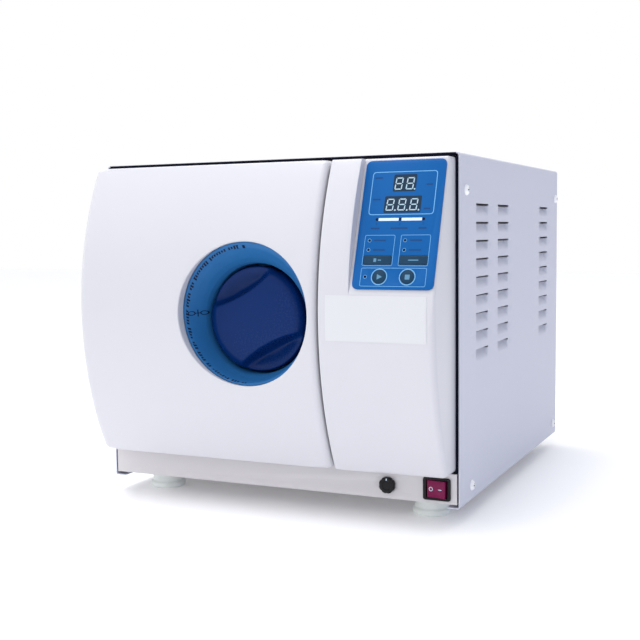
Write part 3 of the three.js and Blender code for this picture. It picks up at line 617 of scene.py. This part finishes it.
def make_fascia():
    left, right_x, back = 88.8, 217.6, 33.5
    step = 123.5
    meet = LOW + 196
    for _ in range(60):  # the height where the inclined flat runs out of the arc
        arc_y = PEAK + ARC - sqrt(ARC ** 2 - (meet - MIDDLE) ** 2)
        plane = PANEL_TOP[0] - (PANEL_TOP[1] - meet) * tan(SLOPE)
        meet += 0.2 if plane < arc_y else -0.2
    z_lines = sorted({76.0, 88.0, 100.4, 112.0, 124.4, 140.0, 160.0, 180.0, 200.0, 220.0, 236.0,
                      meet - 5, meet - 1.2, meet, meet + 1.2, meet + 5, 270.0, 284.0, 298.0, 308.0, 318.4,
                      330.0, 342.4, 352.0, 362.0, 372.0, 380.0, 388.0})
    soft, sharp_r = 3.0, 1.0
    big = 7.0

    def radius_at(z):
        return big + (soft - big) * ramp((z - meet + 40) / 40)

    columns = []
    left_line = side_view(sharp_r, soft, soft, back, z_lines)
    for k in range(4):
        turn = pi / 2 * k / 3
        line = side_view(sharp_r * (1 - sin(turn)), soft, soft, back, z_lines)
        x = left + sharp_r * (1 - cos(turn))
        columns.append([(x, y, z) for y, z in line])
    for x in (96.0, 106.0, 115.0):
        columns.append([(x, y, z) for y, z in side_view(0, soft, soft, back, z_lines)])
    arc_line = side_view(0, soft, soft, back, z_lines)
    flat_line = side_view(0, big * 0.4, soft, back, z_lines, flat=True)
    small = 0.8
    for k in range(4):
        turn = pi / 2 * k / 3
        column = []
        for (ya, za), (yf, zf) in zip(arc_line, flat_line):
            share = 0.0 if zf < MIDDLE else min(max((yf - ya) / 2, 0), 1)
            y = ya + share * small * (1 - cos(turn))
            column.append((step - small * (1 - sin(turn)), y, za))
        columns.append(column)
    columns.append([(step, y, z) for y, z in flat_line])
    for x in (140.0, 160.0, 180.0, 198.0):
        columns.append([(x, y, z) for y, z in side_view(0, big, soft, back, z_lines, flat=True)])
    for k in range(9):
        turn = pi / 2 * k / 8
        share = 1 - cos(turn)
        low_line = side_view(big * share, big, soft, back, z_lines, flat=True)
        high_line = side_view(soft * share, big, soft, back, z_lines, flat=True)
        column = []
        for low_p, high_p in zip(low_line, high_line):
            r = radius_at(high_p[1])
            mix = (r - soft) / (big - soft)
            y, z = (a * mix + b * (1 - mix) for a, b in zip(low_p, high_p))
            column.append((right_x - r * (1 - sin(turn)), y, z))
        columns.append(column)
        last = [(p[1], p[2]) for p in column]
    parts = [sheet_of(columns)]
    slots = [(8, 15.5, centre - 12, centre + 12) for centre in (112.4, 330.4)]
    parts.append(end_wall(left, left_line, back, (SIDE_FROM, 8.0, 15.5), z_lines, slots))
    parts.append(end_wall(right_x, last, back, (SIDE_FROM,), z_lines))
    piece("fascia_panel", parts, WHITE, "machine", ["control_fascia"], wall=WALL, sharp=35,
          even=False)


make_fascia()


def make_gap_shades():
    """Black foam strips as painted shade: they fill the shadow gap round the front edge of the cover, and
    both sides of the seam beside the door, so these gaps read black.
    """
    lip = [(-0.45, 397.2), (10, 397.2), (10, 398.7), (-0.03, 398.7), (-0.03, 399.6), (-0.45, 399.6)]
    long_ways = lambda u, v, h: (-218.4 + h, u, v)
    # painted shade: a black lip under the cover's top edge and an upright beside the fascia's right edge
    # stand for the shadow gaps there
    over = plate([lip], 436.8, long_ways)
    upright = plate([[(217.95, 0.6), (220.95, 0.6), (220.95, 12.0), (217.95, 12.0)]], 337.0,
                    lambda u, v, h: (u, v, 58.5 + h))
    piece("cover_gap_shade", [over, upright], GAP_SHADE, "machine")
    # painted shade: black strips on the door's and the fascia's walls inside the seam darken it as shadow
    # would
    zs = [LOW + 9 + (HIGH - LOW - 18) * k / 40 for k in range(41)]
    for name, body, x0, x1, inset in (("seam_gap_shade_door", "door", 85.82, 86.5, 9.2),
                                      ("seam_gap_shade_fascia", "machine", 88.1, 88.78, 3.0)):
        columns = []
        for z in zs:
            y = front_y(z, inset) + 0.3
            columns.append([(x0, y, z), (x1, y, z), (x1, -3.0, z), (x0, -3.0, z), (x0, y, z)])
        caps = [(columns[i][:4], [(0, 1, 2, 3)]) for i in (0, -1)]
        piece(name, [sheet_of(columns)] + caps, GAP_SHADE, body)


make_gap_shades()

# ---------- bowl round the knob ----------
DISH = soften([(11.3, 1.0), (60.5, 1.0), (61.5, -1.0), (61.6, -16.0), (62.3, -26.0), (64.2, -33.0),
               (67.6, -40.5), (71.3, -48.0), (74.6, -54.2), (77.0, -56.6), (79.1, -57.0)],
              [0, 2, 2, 12, 12, 12, 20, 12, 6, 3, 0], 4)
WELL_R, RIM_R = 63.5, 79.1


def rise(r):
    """The dish's rim is centred on the aperture and its well on the knob, so it shifts upwards between."""
    return (APERTURE[1] - AXIS[1]) * ramp((r - WELL_R) / (RIM_R - WELL_R))


def dish_point(r, y, angle, lift=0.0):
    return (AXIS[0] + r * cos(angle), y - lift, AXIS[1] + r * sin(angle) + rise(r))


def dish_depth(r):
    for (r0, y0), (r1, y1) in zip(DISH, DISH[1:]):
        if r0 <= r <= r1:
            return y0 + (y1 - y0) * (r - r0) / (r1 - r0)
    return DISH[-1][1]


def make_dish():
    back = [(r, y + 1.8) if r > 76 else (r + 1.8, y + 0.6) if r > 60.6 else (r, y + 2.0)
            for r, y in reversed(DISH)]
    loop = DISH + back + DISH[:1]
    columns = []
    for i in range(129):
        angle = 2 * pi * i / 128
        columns.append([dish_point(r, y, angle) for r, y in loop])
    piece("bowl_dish", [sheet_of(columns)], BOWL, "door", ["door_bowl"], sharp=50)


def dish_patch(r0, r1, a0, a1, lift=0.15, rows=3, cols=2):
    """A thin printed patch that follows the dish between two radii and two angles in degrees."""
    columns = []
    radii = [r0 + (r1 - r0) * k / rows for k in range(rows + 1)]
    for i in range(cols + 1):
        angle = radians(a0 + (a1 - a0) * i / cols)
        columns.append([dish_point(r, dish_depth(r), angle, lift) for r in radii])
    return sheet_of(columns)


def make_dish_marks():
    """A scale of plain strokes in groups, on the dish's left half, from the bottom round to the top."""
    rng = random.Random(7)
    parts = []
    low, high = 74.1, 76.6
    angle, pitch, gap = 269.0, 2.62, 2.0
    for count in (2, 3, 7, 2, 4, 3, 4, 5, 5, 3, 8, 7, 4):
        for _ in range(count):
            short = rng.choice((0.0, 0.0, 0.8, 1.2))
            parts.append(dish_patch(low + short * 0.5, high - short * 0.3, angle, angle - 1.5))
            if rng.random() < 0.55:
                parts.append(dish_patch(high - 0.5, high, angle - 1.4, angle - 2.1))
            angle -= pitch
        angle -= gap
    parts.append(dish_patch(low, high - 0.4, angle - 1.0, angle - 3.4))
    piece("bowl_scale_marks", parts, MARK, "door")


def on_dish(x, z, lift=0.18):
    """The place on the dish that lies at this x and z."""
    r = hypot(x - AXIS[0], z - AXIS[1])
    for _ in range(12):
        r = hypot(x - AXIS[0], z - AXIS[1] - rise(r))
    return (x, dish_depth(r) - lift, z)


def make_dish_symbol():
    """Two rings with a cross of lines between them, printed on the left of the dish."""
    parts = []
    level = 227.6
    for centre in (-76.6, -68.9):
        columns = [[on_dish(centre + 2.5 * c, level + 2.5 * s), on_dish(centre + 1.8 * c, level + 1.75 * s)]
                   for c, s in circle(0, 0, 1, 24) + [(1.0, 0.0)]]
        parts.append(sheet_of(columns))
    for xs, zs in (((-74.4, -73.0, -72.0, -70.9), (-0.35, 0.35)), ((-73.0, -72.4), (-4, -2, 0, 2, 4))):
        parts.append(sheet_of([[on_dish(x, level + z) for z in zs] for x in xs]))
    piece("bowl_turn_symbol", parts, MARK, "door")


make_dish()
make_dish_marks()
make_dish_symbol()

# ---------- knob: a round body with two finger pockets ----------
KNOB_R, KNOB_FRONT, GRIP, SCOOP = 59.0, 37.0, 31.0, 150.0


def knob_height(u, v):
    """Height of the knob's front over its back plane, u along the grip and v across it."""
    r = hypot(u, v)
    rounded, crown, shoulder = 11.0, 0.9, 9.5
    out = max(r - (KNOB_R - rounded), 0) / rounded
    bar = KNOB_FRONT - crown * (r / KNOB_R) ** 2 - shoulder * (1 - sqrt(max(1 - out ** 2, 0)))
    reach = SCOOP - hypot(u, abs(v) - GRIP - SCOOP)
    reach = (reach + sqrt(reach ** 2 + 1.0)) / 2
    rim, rim_round, hollow, wide, steep = 27.0, 2.2, 7.0, 19, 10.0
    edge = max(r - KNOB_R + rim_round, 0) / rim_round
    pocket = rim - 1.6 * (1 - sqrt(max(1 - edge ** 2, 0))) - hollow * ramp((KNOB_R - r) / wide)
    fall = 1 - (1 - min(reach / steep, 1)) ** 2.4
    return bar + (min(pocket, bar) - bar) * fall


def make_knob():
    rings, around = 84, 300
    radii = [KNOB_R * (k / rings) ** 0.92 for k in range(rings + 1)]
    columns = []
    for i in range(around + 1):
        angle = 2 * pi * i / around
        c, s = cos(angle), sin(angle)
        u, v = c * cos(TILT) + s * sin(TILT), -c * sin(TILT) + s * cos(TILT)
        line = [(r, -knob_height(r * u, r * v)) for r in radii] + [(KNOB_R, -14.0), (KNOB_R, 0.0), (8, 0.4)]
        columns.append([(AXIS[0] + r * c, y, AXIS[1] + r * s) for r, y in line])
    piece("knob_body", [sheet_of(columns)], KNOB, "knob", ["lock_knob"], sharp=60)


make_knob()

# ---------- overlay, keys and their marks ----------
OVERLAY_N = 1.9
ON = on_panel(OVERLAY_N + 0.02)
ROUND_KEYS, ROUND_ROW, KEY_R = (156.4, 187.0), 131.3, 7.4
BAND_KEYS, BAND_TOP, BAND_END, BAND_HALF = (152.2, 191.4), 108.6, 118.0, 15.5
BAND_MARK = (112.7, 113.9)


def frame_loops(u0, u1, v0, v1, r, line):
    inner = box_loop(u0 + line, u1 - line, v0 + line, v1 - line, max(r - line, 0.3))
    return [box_loop(u0, u1, v0, v1, r), inner]


def seven_segments(u, v, wide, tall, thick=1.15):
    """The strokes of a figure 8 as separate outlines, from its upper left corner."""
    mid, gap, slant = v + tall / 2, 0.35, 0.09
    end, low_y = u + wide, v + tall
    near, far, tip = gap + thick * 0.3, gap + thick, thick * 1.3
    strokes = [[(u + near, v), (end - near, v), (end - far, v + thick), (u + far, v + thick)],
               [(u + far, low_y - thick), (end - far, low_y - thick), (end - near, low_y), (u + near, low_y)],
               [(u + gap + thick * 0.6, mid), (u + tip, mid - thick / 2), (end - tip, mid - thick / 2),
                (end - gap - thick * 0.6, mid), (end - tip, mid + thick / 2), (u + tip, mid + thick / 2)]]
    for low, high in ((v + gap, mid - gap), (mid + gap, low_y - gap)):
        for a, b in ((u, u + thick), (end, end - thick)):
            strokes.append([(a, low + thick * 0.3), (b, low + thick), (b, high - thick * 0.7), (a, high)])
    return [[(p + slant * (mid - q), q) for p, q in stroke] for stroke in strokes]


def make_overlay():
    gap = 0.35
    holes = [circle(x, ROUND_ROW, KEY_R + gap, 40) for x in ROUND_KEYS]
    half = BAND_HALF + gap
    holes += [box_loop(x - half, x + half, BAND_TOP - gap, BAND_END + gap, 1.6) for x in BAND_KEYS]
    piece("overlay_film", [plate([box_loop(127, 216, 3, 144.6, 7, 8)] + holes, 1.6, on_panel(0.3), 0.2)],
          OVERLAY, "machine", ["membrane_overlay"])
    film = 0.12
    frames = ((135.8, 207.7, 16, 64, 4, 0.8), (135.5, 169, 86, 119.6, 2, 0.5),
              (175.3, 207.6, 86, 119.6, 2, 0.5), (135.6, 207.2, 121.6, 141.6, 2, 0.5))
    piece("overlay_frames", [plate(frame_loops(*sizes), film, ON) for sizes in frames], LINE, "machine")
    bars = [plate([box_loop(x, x + 22.2, 67.5, 70.6, 0.3)], film, ON) for x in (148.2, 173.6)]
    piece("overlay_pale_marks", bars, PALE, "machine")
    stages = (146.4, 172.0, 197.6)
    dark = [box_loop(x, x + w, 78.0, 79.6, 0.4) for x, w in ((140.5, 10), (162.5, 19), (193.0, 9))]
    dark += [box_loop(x, x + w, s, s + 1.5, 0.4) for x, w, s in (
        (139.0, 8.5, 22.0), (196.5, 7.0, 30.5), (139.0, 8.5, 46.0), (196.5, 7.0, 57.0), (146.0, 13, 91.2),
        (146.0, 13, 101.6), (185.5, 13, 91.2), (185.5, 13, 101.6))]
    dark += [box_loop(x - 0.35, x + 0.35, 72.6, 75.4) for x in stages]
    piece("overlay_ink_marks", [plate([loop], film, ON) for loop in dark], INK, "machine")
    windows = [box_loop(160, 185.3, 19.5, 38.3, 1.6), box_loop(152.5, 193, 43.5, 61.8, 1.6)]
    piece("display_windows", [plate([w], 0.14, ON) for w in windows], WINDOW, "machine")
    strokes = []
    for u in (162.2, 174.6):
        strokes += seven_segments(u, 23.0, 8.2, 13.4)
    for u in (155.0, 168.0, 181.0):
        strokes += seven_segments(u, 46.4, 8.2, 13.0)
    points = ((184.0, 36.0), (165.0, 59.0), (178.0, 59.0), (190.9, 59.0))
    strokes += [circle(x, s, 0.9, 12) for x, s in points]
    parts = [plate([s], 0.1, on_panel(OVERLAY_N + 0.18)) for s in strokes]
    piece("display_digits", parts, DIGIT, "machine")
    leds = [(141, 92), (141, 102.2), (180.2, 91.9), (180.2, 102.3), (140.8, ROUND_ROW)]
    parts = [plate([circle(x, 69.0, 1.5, 20)], film, on_panel(OVERLAY_N + 0.15)) for x in stages]
    parts += [plate([circle(x, s, 1.4, 20)], film, ON) for x, s in leds]
    piece("overlay_lamps", parts, MARK, "machine")
    rings = [plate([circle(x, s, 2.0, 24), circle(x, s, 1.6, 24)], film, ON) for x, s in leds]
    piece("overlay_lamp_rings", rings, LINE, "machine")


def key_cap(node, body, outline, marks):
    piece(node + "_cap", [plate([outline], 0.9, on_panel(1.1), 0.25)], TEAL, body, [node])
    piece(node + "_cap_mark", [plate([m], 0.1, on_panel(2.02)) for m in marks], DIM, body)


def make_keys():
    row = ROUND_ROW
    for name, x, mark in (("start", ROUND_KEYS[0], [(153.9, row - 2.9), (159.6, row), (153.9, row + 2.9)]),
                          ("stop", ROUND_KEYS[1], box_loop(184.4, 189.6, row - 2.6, row + 2.6, 0.5))):
        key_cap("key_" + name, name + "_key", circle(x, row, KEY_R, 48), [mark])
        ring = plate([circle(x, row, KEY_R + 1.5, 48), circle(x, row, KEY_R + 0.5, 48)], 0.25, ON)
        piece("key_" + name + "_ring", [ring], LINE, "machine")
    for number, x in enumerate(BAND_KEYS, 1):
        if number == 1:
            marks = [box_loop(x - 4.2, x - 1.2, 111.4, 115.2, 0.4),
                     box_loop(x + 0.6, x + 4.0, *BAND_MARK, 0.4)]
        else:
            marks = [box_loop(x - 5.5, x + 5.5, *BAND_MARK, 0.4)]
        outline = box_loop(x - BAND_HALF, x + BAND_HALF, BAND_TOP, BAND_END, 1.4)
        key_cap(f"key_program_{number}", f"program_key_{number}", outline, marks)


make_overlay()
make_keys()


def label_point(u, v, h):
    """On the arc under the flat, for the blank name plate."""
    return (u, front_y(v) - 0.05 - h, v)


def make_label():
    columns = []
    for x in (97.5, 98.0, 208.6, 209.0):
        columns.append([label_point(x, z, 0.25) for z in [204.2 + 48.0 * k / 12 for k in range(13)]])
    piece("name_plate_blank", [sheet_of(columns)], LABEL, "machine", wall=0.22)


make_label()


# ---------- front strip: base pan, switch and drain knob ----------
refined("base_pan", STRIP, 0.3)


def make_switch():
    x, z = 197.1, 39.4
    cavity = box_loop(x - 12, x + 12, z - 9.8, z + 9.8, 1)
    bezel = plate([box_loop(x - 15.6, x + 15.6, z - 12.5, z + 12.5, 3), cavity], 2.0, facing(-0.3), 0.45)
    well = box_loop(x - 13.79, x + 13.81, z - 10.69, z + 10.71, 0.8)
    tube = plate([well, cavity], 16.0, behind(-0.4))
    back = plate([well], 8.0, behind(15.6))
    piece("switch_bezel", [bezel, tube, back], BLACK, "machine", ["switch_housing"])
    outline = [(-10.7, -5.4), (-4, -5.9), (2, -6.6), (7, -7.6), (9.9, -8.8), (10.4, -7.8), (10.8, -2), (6, 9),
               (-6, 9), (-10.8, -2)]
    outline = soften(outline, [0.6, 12, 12, 8, 0.8, 0.8, 1.5, 2, 2, 1.5], 3, closed=True)
    pivot = 3
    rocker = plate([outline], 18.8, lambda u, v, h: (x + u, pivot + v, z - 9.4 + h), 0.5)
    piece("switch_rocker", [rocker], ROCKER, "rocker", ["power_rocker"])

    def face(u, v, h):
        """On the front of the rocker, which rises to the right."""
        out = 5.95 + 0.075 * (u + 4) if u < -4 else 5.95 + 0.115 * (u + 4) + 0.004 * (u + 4) ** 2
        return (x + u, pivot - out - 0.1 - h, z + v)

    marks = [plate([circle(-6.2, 0, 2.3, 28), circle(-6.2, 0, 1.6, 28)], 0.12, face),
             plate([box_loop(2.6, 6.4, -0.4, 0.4, 0.2)], 0.12, face)]
    piece("switch_marks", marks, PALE, "rocker")


def make_drain_knob():
    x, z = 140.2, 39.0
    radius, grooves, groove = 9.2, 8, 0.55
    profile = soften([(0.0, -4.7), (4.6, -4.7), (5.2, -5.3), (8.4, -5.3), (radius, -4.3), (radius, -0.3),
                      (3.0, -0.3), (3.0, 12.0), (0.0, 12.0)], 0.5)
    columns = []
    for i in list(range(96)) + [0]:
        angle = 2 * pi * i / 96
        pinch = 1 - groove / radius * (0.5 + 0.5 * cos(grooves * angle)) ** 3
        line = [(r * (pinch if r > 5.5 else 1), y) for r, y in profile]
        columns.append([(x + r * cos(angle), y, z + r * sin(angle)) for r, y in line])
    piece("drain_knob_body", [sheet_of(columns)], BLACK, "drain_handle", ["drain_knob"],
          sharp=40)
    mark = plate([box_loop(x - 0.5, x + 0.5, z + 5.6, z + 8.0, 0.3)], 0.12, facing(-5.3))
    piece("drain_knob_mark", [mark], PALE, "drain_handle")


make_switch()
make_drain_knob()

# ---------- feet and side screws ----------
SIDES = (("left", -1), ("right", 1))
FOOT_PROFILE = soften([(0, 0.8), (14, 0.8), (15, 0), (19.6, 0), (21.5, 1.6), (21.5, 6.4), (19.2, 8.2),
                       (18.0, 23.2), (0, 23.2)], [0, 0.5, 0.5, 1.6, 1.2, 1.6, 1.6, 0.6, 0], 3)
for end, y in (("front", 46.0), ("rear", 424.0)):
    for side, sign in SIDES:
        piece(f"foot_{end}_{side}_cup", [lathe(FOOT_PROFILE, (sign * 175.4, y, 0), "z")], FOOT, "machine",
              [f"foot_{end}_{side}"], sharp=50)


def screw(name, centre, axis, sign, body, nodes=(), head=6.0, height=3.7, look=ZINC):
    """A domed head with a cross recess, standing out along the axis, on a short shank."""
    around, arm, wide, shank, deep = 48, 3.0, 0.55, 1.9, -2.5
    radii = [0.0, 0.55, 1.1, 1.8, 2.5, 3.0, 3.3, 4.2, 5.1, head * 0.985, head]
    columns = []
    for i in range(around + 1):
        angle = 2 * pi * i / around
        c, s = cos(angle), sin(angle)
        line = []
        for r in radii:
            u, v = abs(r * c), abs(r * s)
            in_cross = (u < wide and v < arm) or (v < wide and u < arm)
            line.append((r, height * (sqrt(max(1 - (r / head) ** 2, 0.0)) - (0.4 if in_cross else 0))))
        line += [(head, 0.0), (shank, 0.0), (shank, deep), (0.0, deep)]
        shifts = [(sign * h, r * c, r * s) if axis == "x" else (r * c, sign * h, r * s) for r, h in line]
        columns.append([tuple(a + b for a, b in zip(centre, shift)) for shift in shifts])
    piece(name, [sheet_of(columns)], look, body, nodes, sharp=40)


SIDE_SCREWS = [(22.8, 361), (456, 360), (44, 36), (450, 36)]
for i, (y, z) in enumerate(SIDE_SCREWS, 1):
    for side, sign in SIDES:
        node = f"screw_{side}_{i}"
        screw(node + "_head", (sign * (HALF + 0.1), y, z), "x", sign, "machine", [node], look=SCREW)
# painted shade: black blocks set into the white screw heads darken their recesses as shadow
slots = [cuboid(x, x + 0.75, y - 0.8, y + 0.8, z - 2.4, z + 2.4)
         for x in (-225.95, 225.2) for y, z in SIDE_SCREWS]
piece("screw_recess_shade", slots, BLACK, "machine")


def make_flange():
    """Closes the gap between the door's shell and core plate, leaving room for the lock bar's tongues."""
    left, right_x, low, high, thick = -183.0, 79.5, 70.5, 386.5, 1.5
    y0, y1 = -6.0, 15.9
    tongues = [AXIS[1] + side * 109 + edge for side in (-1, 1) for edge in (-12.5, 12.5)]
    ends = [low + 12, *tongues, high - 12]
    parts = [cuboid(right_x - thick, right_x, y0, y1, z0, z1) for z0, z1 in zip(ends[::2], ends[1::2])]
    parts += [cuboid(left, right_x - 13, y0, y1, z, z + thick) for z in (low, high - thick)]
    piece("door_flange", parts, STEEL, "door")


make_flange()

# ---------- rear ----------
REAR = 467.0


def make_inlet():
    x, z = 150, 62
    refined("power_inlet", BLACK, 0.4)
    blades = []
    for dx, dz in ((0, 3.2), (-6.5, -2.6), (6.5, -2.6)):
        outline = box_loop(x + dx - 1.0, x + dx + 1.0, z + dz - 2.6, z + dz + 2.6, 0.4)
        blades.append(plate([outline], 11.0, behind(454.6), 0.3))
    piece("inlet_blades", blades, BRASS, "machine")
    for side, sign in SIDES:
        screw(f"inlet_screw_{side}", (x + sign * 19.5, 470.2, z), "y", 1, "machine", head=3.2, height=1.2)


def make_valve():
    z = 352
    body = soften([(0, 445.3), (8, 445.3), (8, 467.3), (13, 467.3), (13, 475.3), (9, 476.3), (9, 486),
                   (7, 491), (3.0, 491), (3.0, 484), (0, 484)], 0.7)
    columns = []
    for i in range(97):
        angle = 2 * pi * i / 96
        hexed = 1 / max(cos((angle + pi / 6) % (pi / 3) - pi / 6), 0.86)
        line = [(r * (min(hexed * 0.9, 1.0) if 12 < r < 13.5 else 1), y) for r, y in body]
        columns.append([(CHAMBER[0] + r * cos(angle), y, z + r * sin(angle)) for r, y in line])
    piece("safety_valve_body", [sheet_of(columns)], BRASS, "machine", ["safety_valve"], sharp=40)


def make_rear():
    refined("rear_panel", PAINT, 0.25)
    make_inlet()
    places = [(-206, 380), (0, 380), (206, 380), (-206, 60), (0, 60), (206, 120), (-206, 220)]
    for i, (x, z) in enumerate(places, 1):
        screw(f"rear_screw_{i}", (x, REAR, z), "y", 1, "machine", head=4.6, height=1.6)
    for i, (dx, dz) in enumerate([(-25, -25), (25, -25), (-25, 25), (25, 25)], 1):
        screw(f"fan_screw_{i}", (160 + dx, REAR, 150 + dz), "y", 1, "machine", head=3.4, height=1.2)
    blank = plate([box_loop(-120, -20, 100, 160, 3)], 0.3, behind(REAR + 0.02), 0.08)
    piece("rear_plate_blank", [blank], LABEL, "machine")
    make_valve()


make_rear()

# ---------- tank lid ----------
refined("tank_lid", PAINT, 0.35)

# ---------- chamber, door inside and lock ----------
CX, CZ = CHAMBER


def dished(r, start, depth, steps=12):
    """A dished end in (radius, y), from its rim to the axis."""
    turns = [pi / 2 * k / steps for k in range(steps + 1)]
    return [(max(r * cos(turn), 0.0), start + depth * sin(turn)) for turn in turns]


def turned(name, profile, look, body, nodes=(), segments=120, sharp=40):
    """A piece turned about the chamber's axis."""
    piece(name, [lathe(profile, (CX, 0, CZ), segments=segments)], look, body, nodes, sharp=sharp)


def make_vessel():
    bore, outer = 115.0, 118.0
    inner = list(reversed(dished(bore, 372.0, 28.0)))
    mouth = soften([(bore, 60.0), (bore, 31.0), (134.0, 31.0), (134.0, 41.0), (outer, 41.0), (outer, 60.0)],
                   [0, 1.6, 1.2, 1.2, 1.5, 0])
    turned("chamber_vessel", inner[:-1] + mouth + dished(outer, 372.0, 31.0), TURNED, "machine",
           ["chamber"])
    weld = [(bore - 0.5 * sin(pi * k / 6), 369.5 + 5 * k / 6) for k in range(7)]
    weld += [(bore + 0.4, 374.0), (bore + 0.4, 370.0), weld[0]]
    turned("chamber_weld", weld, STEEL, "machine", sharp=32)
    for i in range(8):
        angle = radians(15 + 45 * i)
        place = (CX + 129.3 * cos(angle), 31.0, CZ + 129.3 * sin(angle))
        screw(f"flange_screw_{i + 1}", place, "y", -1, "machine", head=3.6, height=1.3)
    disc = soften([(0.0, 19.3), (127.0, 19.3), (127.0, 24.3), (113.5, 24.3), (112.5, 28.3), (92.0, 28.3),
                   (88.0, 27.1), (0.0, 27.1)], [0, 0.8, 0.8, 1.2, 1.6, 2, 4, 0])
    turned("pressure_plate_disc", disc, TURNED, "door", ["pressure_plate"])
    seal = soften([(117.5, 24.6), (126.0, 24.6), (126.0, 28.6), (124.6, 30.4), (122.6, 30.7), (121.4, 29.6),
                   (119.4, 29.6), (117.5, 28.4)], 0.8, 3, closed=True)
    turned("door_seal_ring", seal + seal[:1], SILICONE, "door", ["door_gasket"], sharp=60)
    for name, look, slot, inner_r, outer_r, y0, y1 in (
            ("heater_band", HEATER, "heater_rubber", 118.4, 121.4, 120, 330),
            ("insulation_jacket", WOOL, "wool", 122.5, 136, 43, 385)):
        ring = soften(box_loop(inner_r, outer_r, y0, y1), 1.2, 3, closed=True)
        turned(name + "_wrap", ring + ring[:1], look, "machine", [name], segments=96, sharp=32)


def make_trays():
    """Pressed trays: a slotted floor with upright walls."""
    half, y0, long = 80, 50.0, 300
    for number, level in enumerate((-56.0, -14.0, 28.0), 1):
        base = CZ + level
        slots = []
        for row in range(7):
            for col in range(4):
                cx, cy = CX - 54 + col * 36, y0 + 36 + row * 38
                slots.append(box_loop(cx - 11, cx + 11, cy - 3, cy + 3, 2.9, 3))
        edge = box_loop(CX - half + 0.4, CX + half - 0.4, y0 + 0.4, y0 + long - 0.4, 1)
        floor_part = plate([edge] + slots, 1.0, lambda u, v, h: (u, v, base + h))
        loops = [box_loop(CX - half, CX + half, y0, y0 + long, 3),
                 box_loop(CX - half + 1, CX + half - 1, y0 + 1, y0 + long - 1, 2.2)]
        wall = plate(loops, 13.4, lambda u, v, h: (u, v, base + 0.5 + h), 0.2)
        piece(f"tray_{number}_pan", [floor_part, wall], ALUMINIUM, "machine", [f"tray_{number}"])


make_vessel()
make_trays()
for node, look, bevel in (
        ("tray_rack", STEEL, 0.3), ("front_plate", ZINC, 0.3), ("door_core_plate", ZINC, 0.5),
        ("hinge_bracket_lower", ZINC, 0.6), ("hinge_bracket_upper", ZINC, 0.6),
        ("hinge_arm_lower", ZINC, 0.6), ("hinge_arm_upper", ZINC, 0.6), ("hinge_pin", STEEL, 0.5),
        ("knob_spindle", STEEL, 0.5), ("spindle_bush", BRASS, 0.3), ("cam_disc", ZINC, 0.4),
        ("lock_bar", STEEL, 0.5), ("bar_guide", ZINC, 0.4), ("lock_keeper", ZINC, 0.4),
        ("control_board", BOARD, 0.2), ("drain_valve", BRASS, 0.6),
        ("water_tank", TANK, 1.0), ("fan_frame", BLACK, 0.4), ("fan_rotor", BLACK, 0.3),
        ("water_pump", BLACK, 0.8), ("solenoid_valve", BRASS, 0.6), ("condenser", ALUMINIUM, 0.2)):
    refined(node, look, bevel)

for i, (x, z) in enumerate([(-185.0, 82.0), (70.0, 82.0), (-185.0, 375.0), (70.0, 375.0)], 1):
    screw(f"core_screw_{i}", (x, 19.0, z), "y", 1, "door", head=4.2, height=1.5)
for i, (x, z) in enumerate([(-182.0, 128.0), (-166.0, 128.0), (-182.0, 328.0), (-166.0, 328.0)], 1):
    screw(f"hinge_screw_{i}", (x, 19.0, z), "y", 1, "door", head=3.6, height=1.4)

bpy.context.view_layer.update()
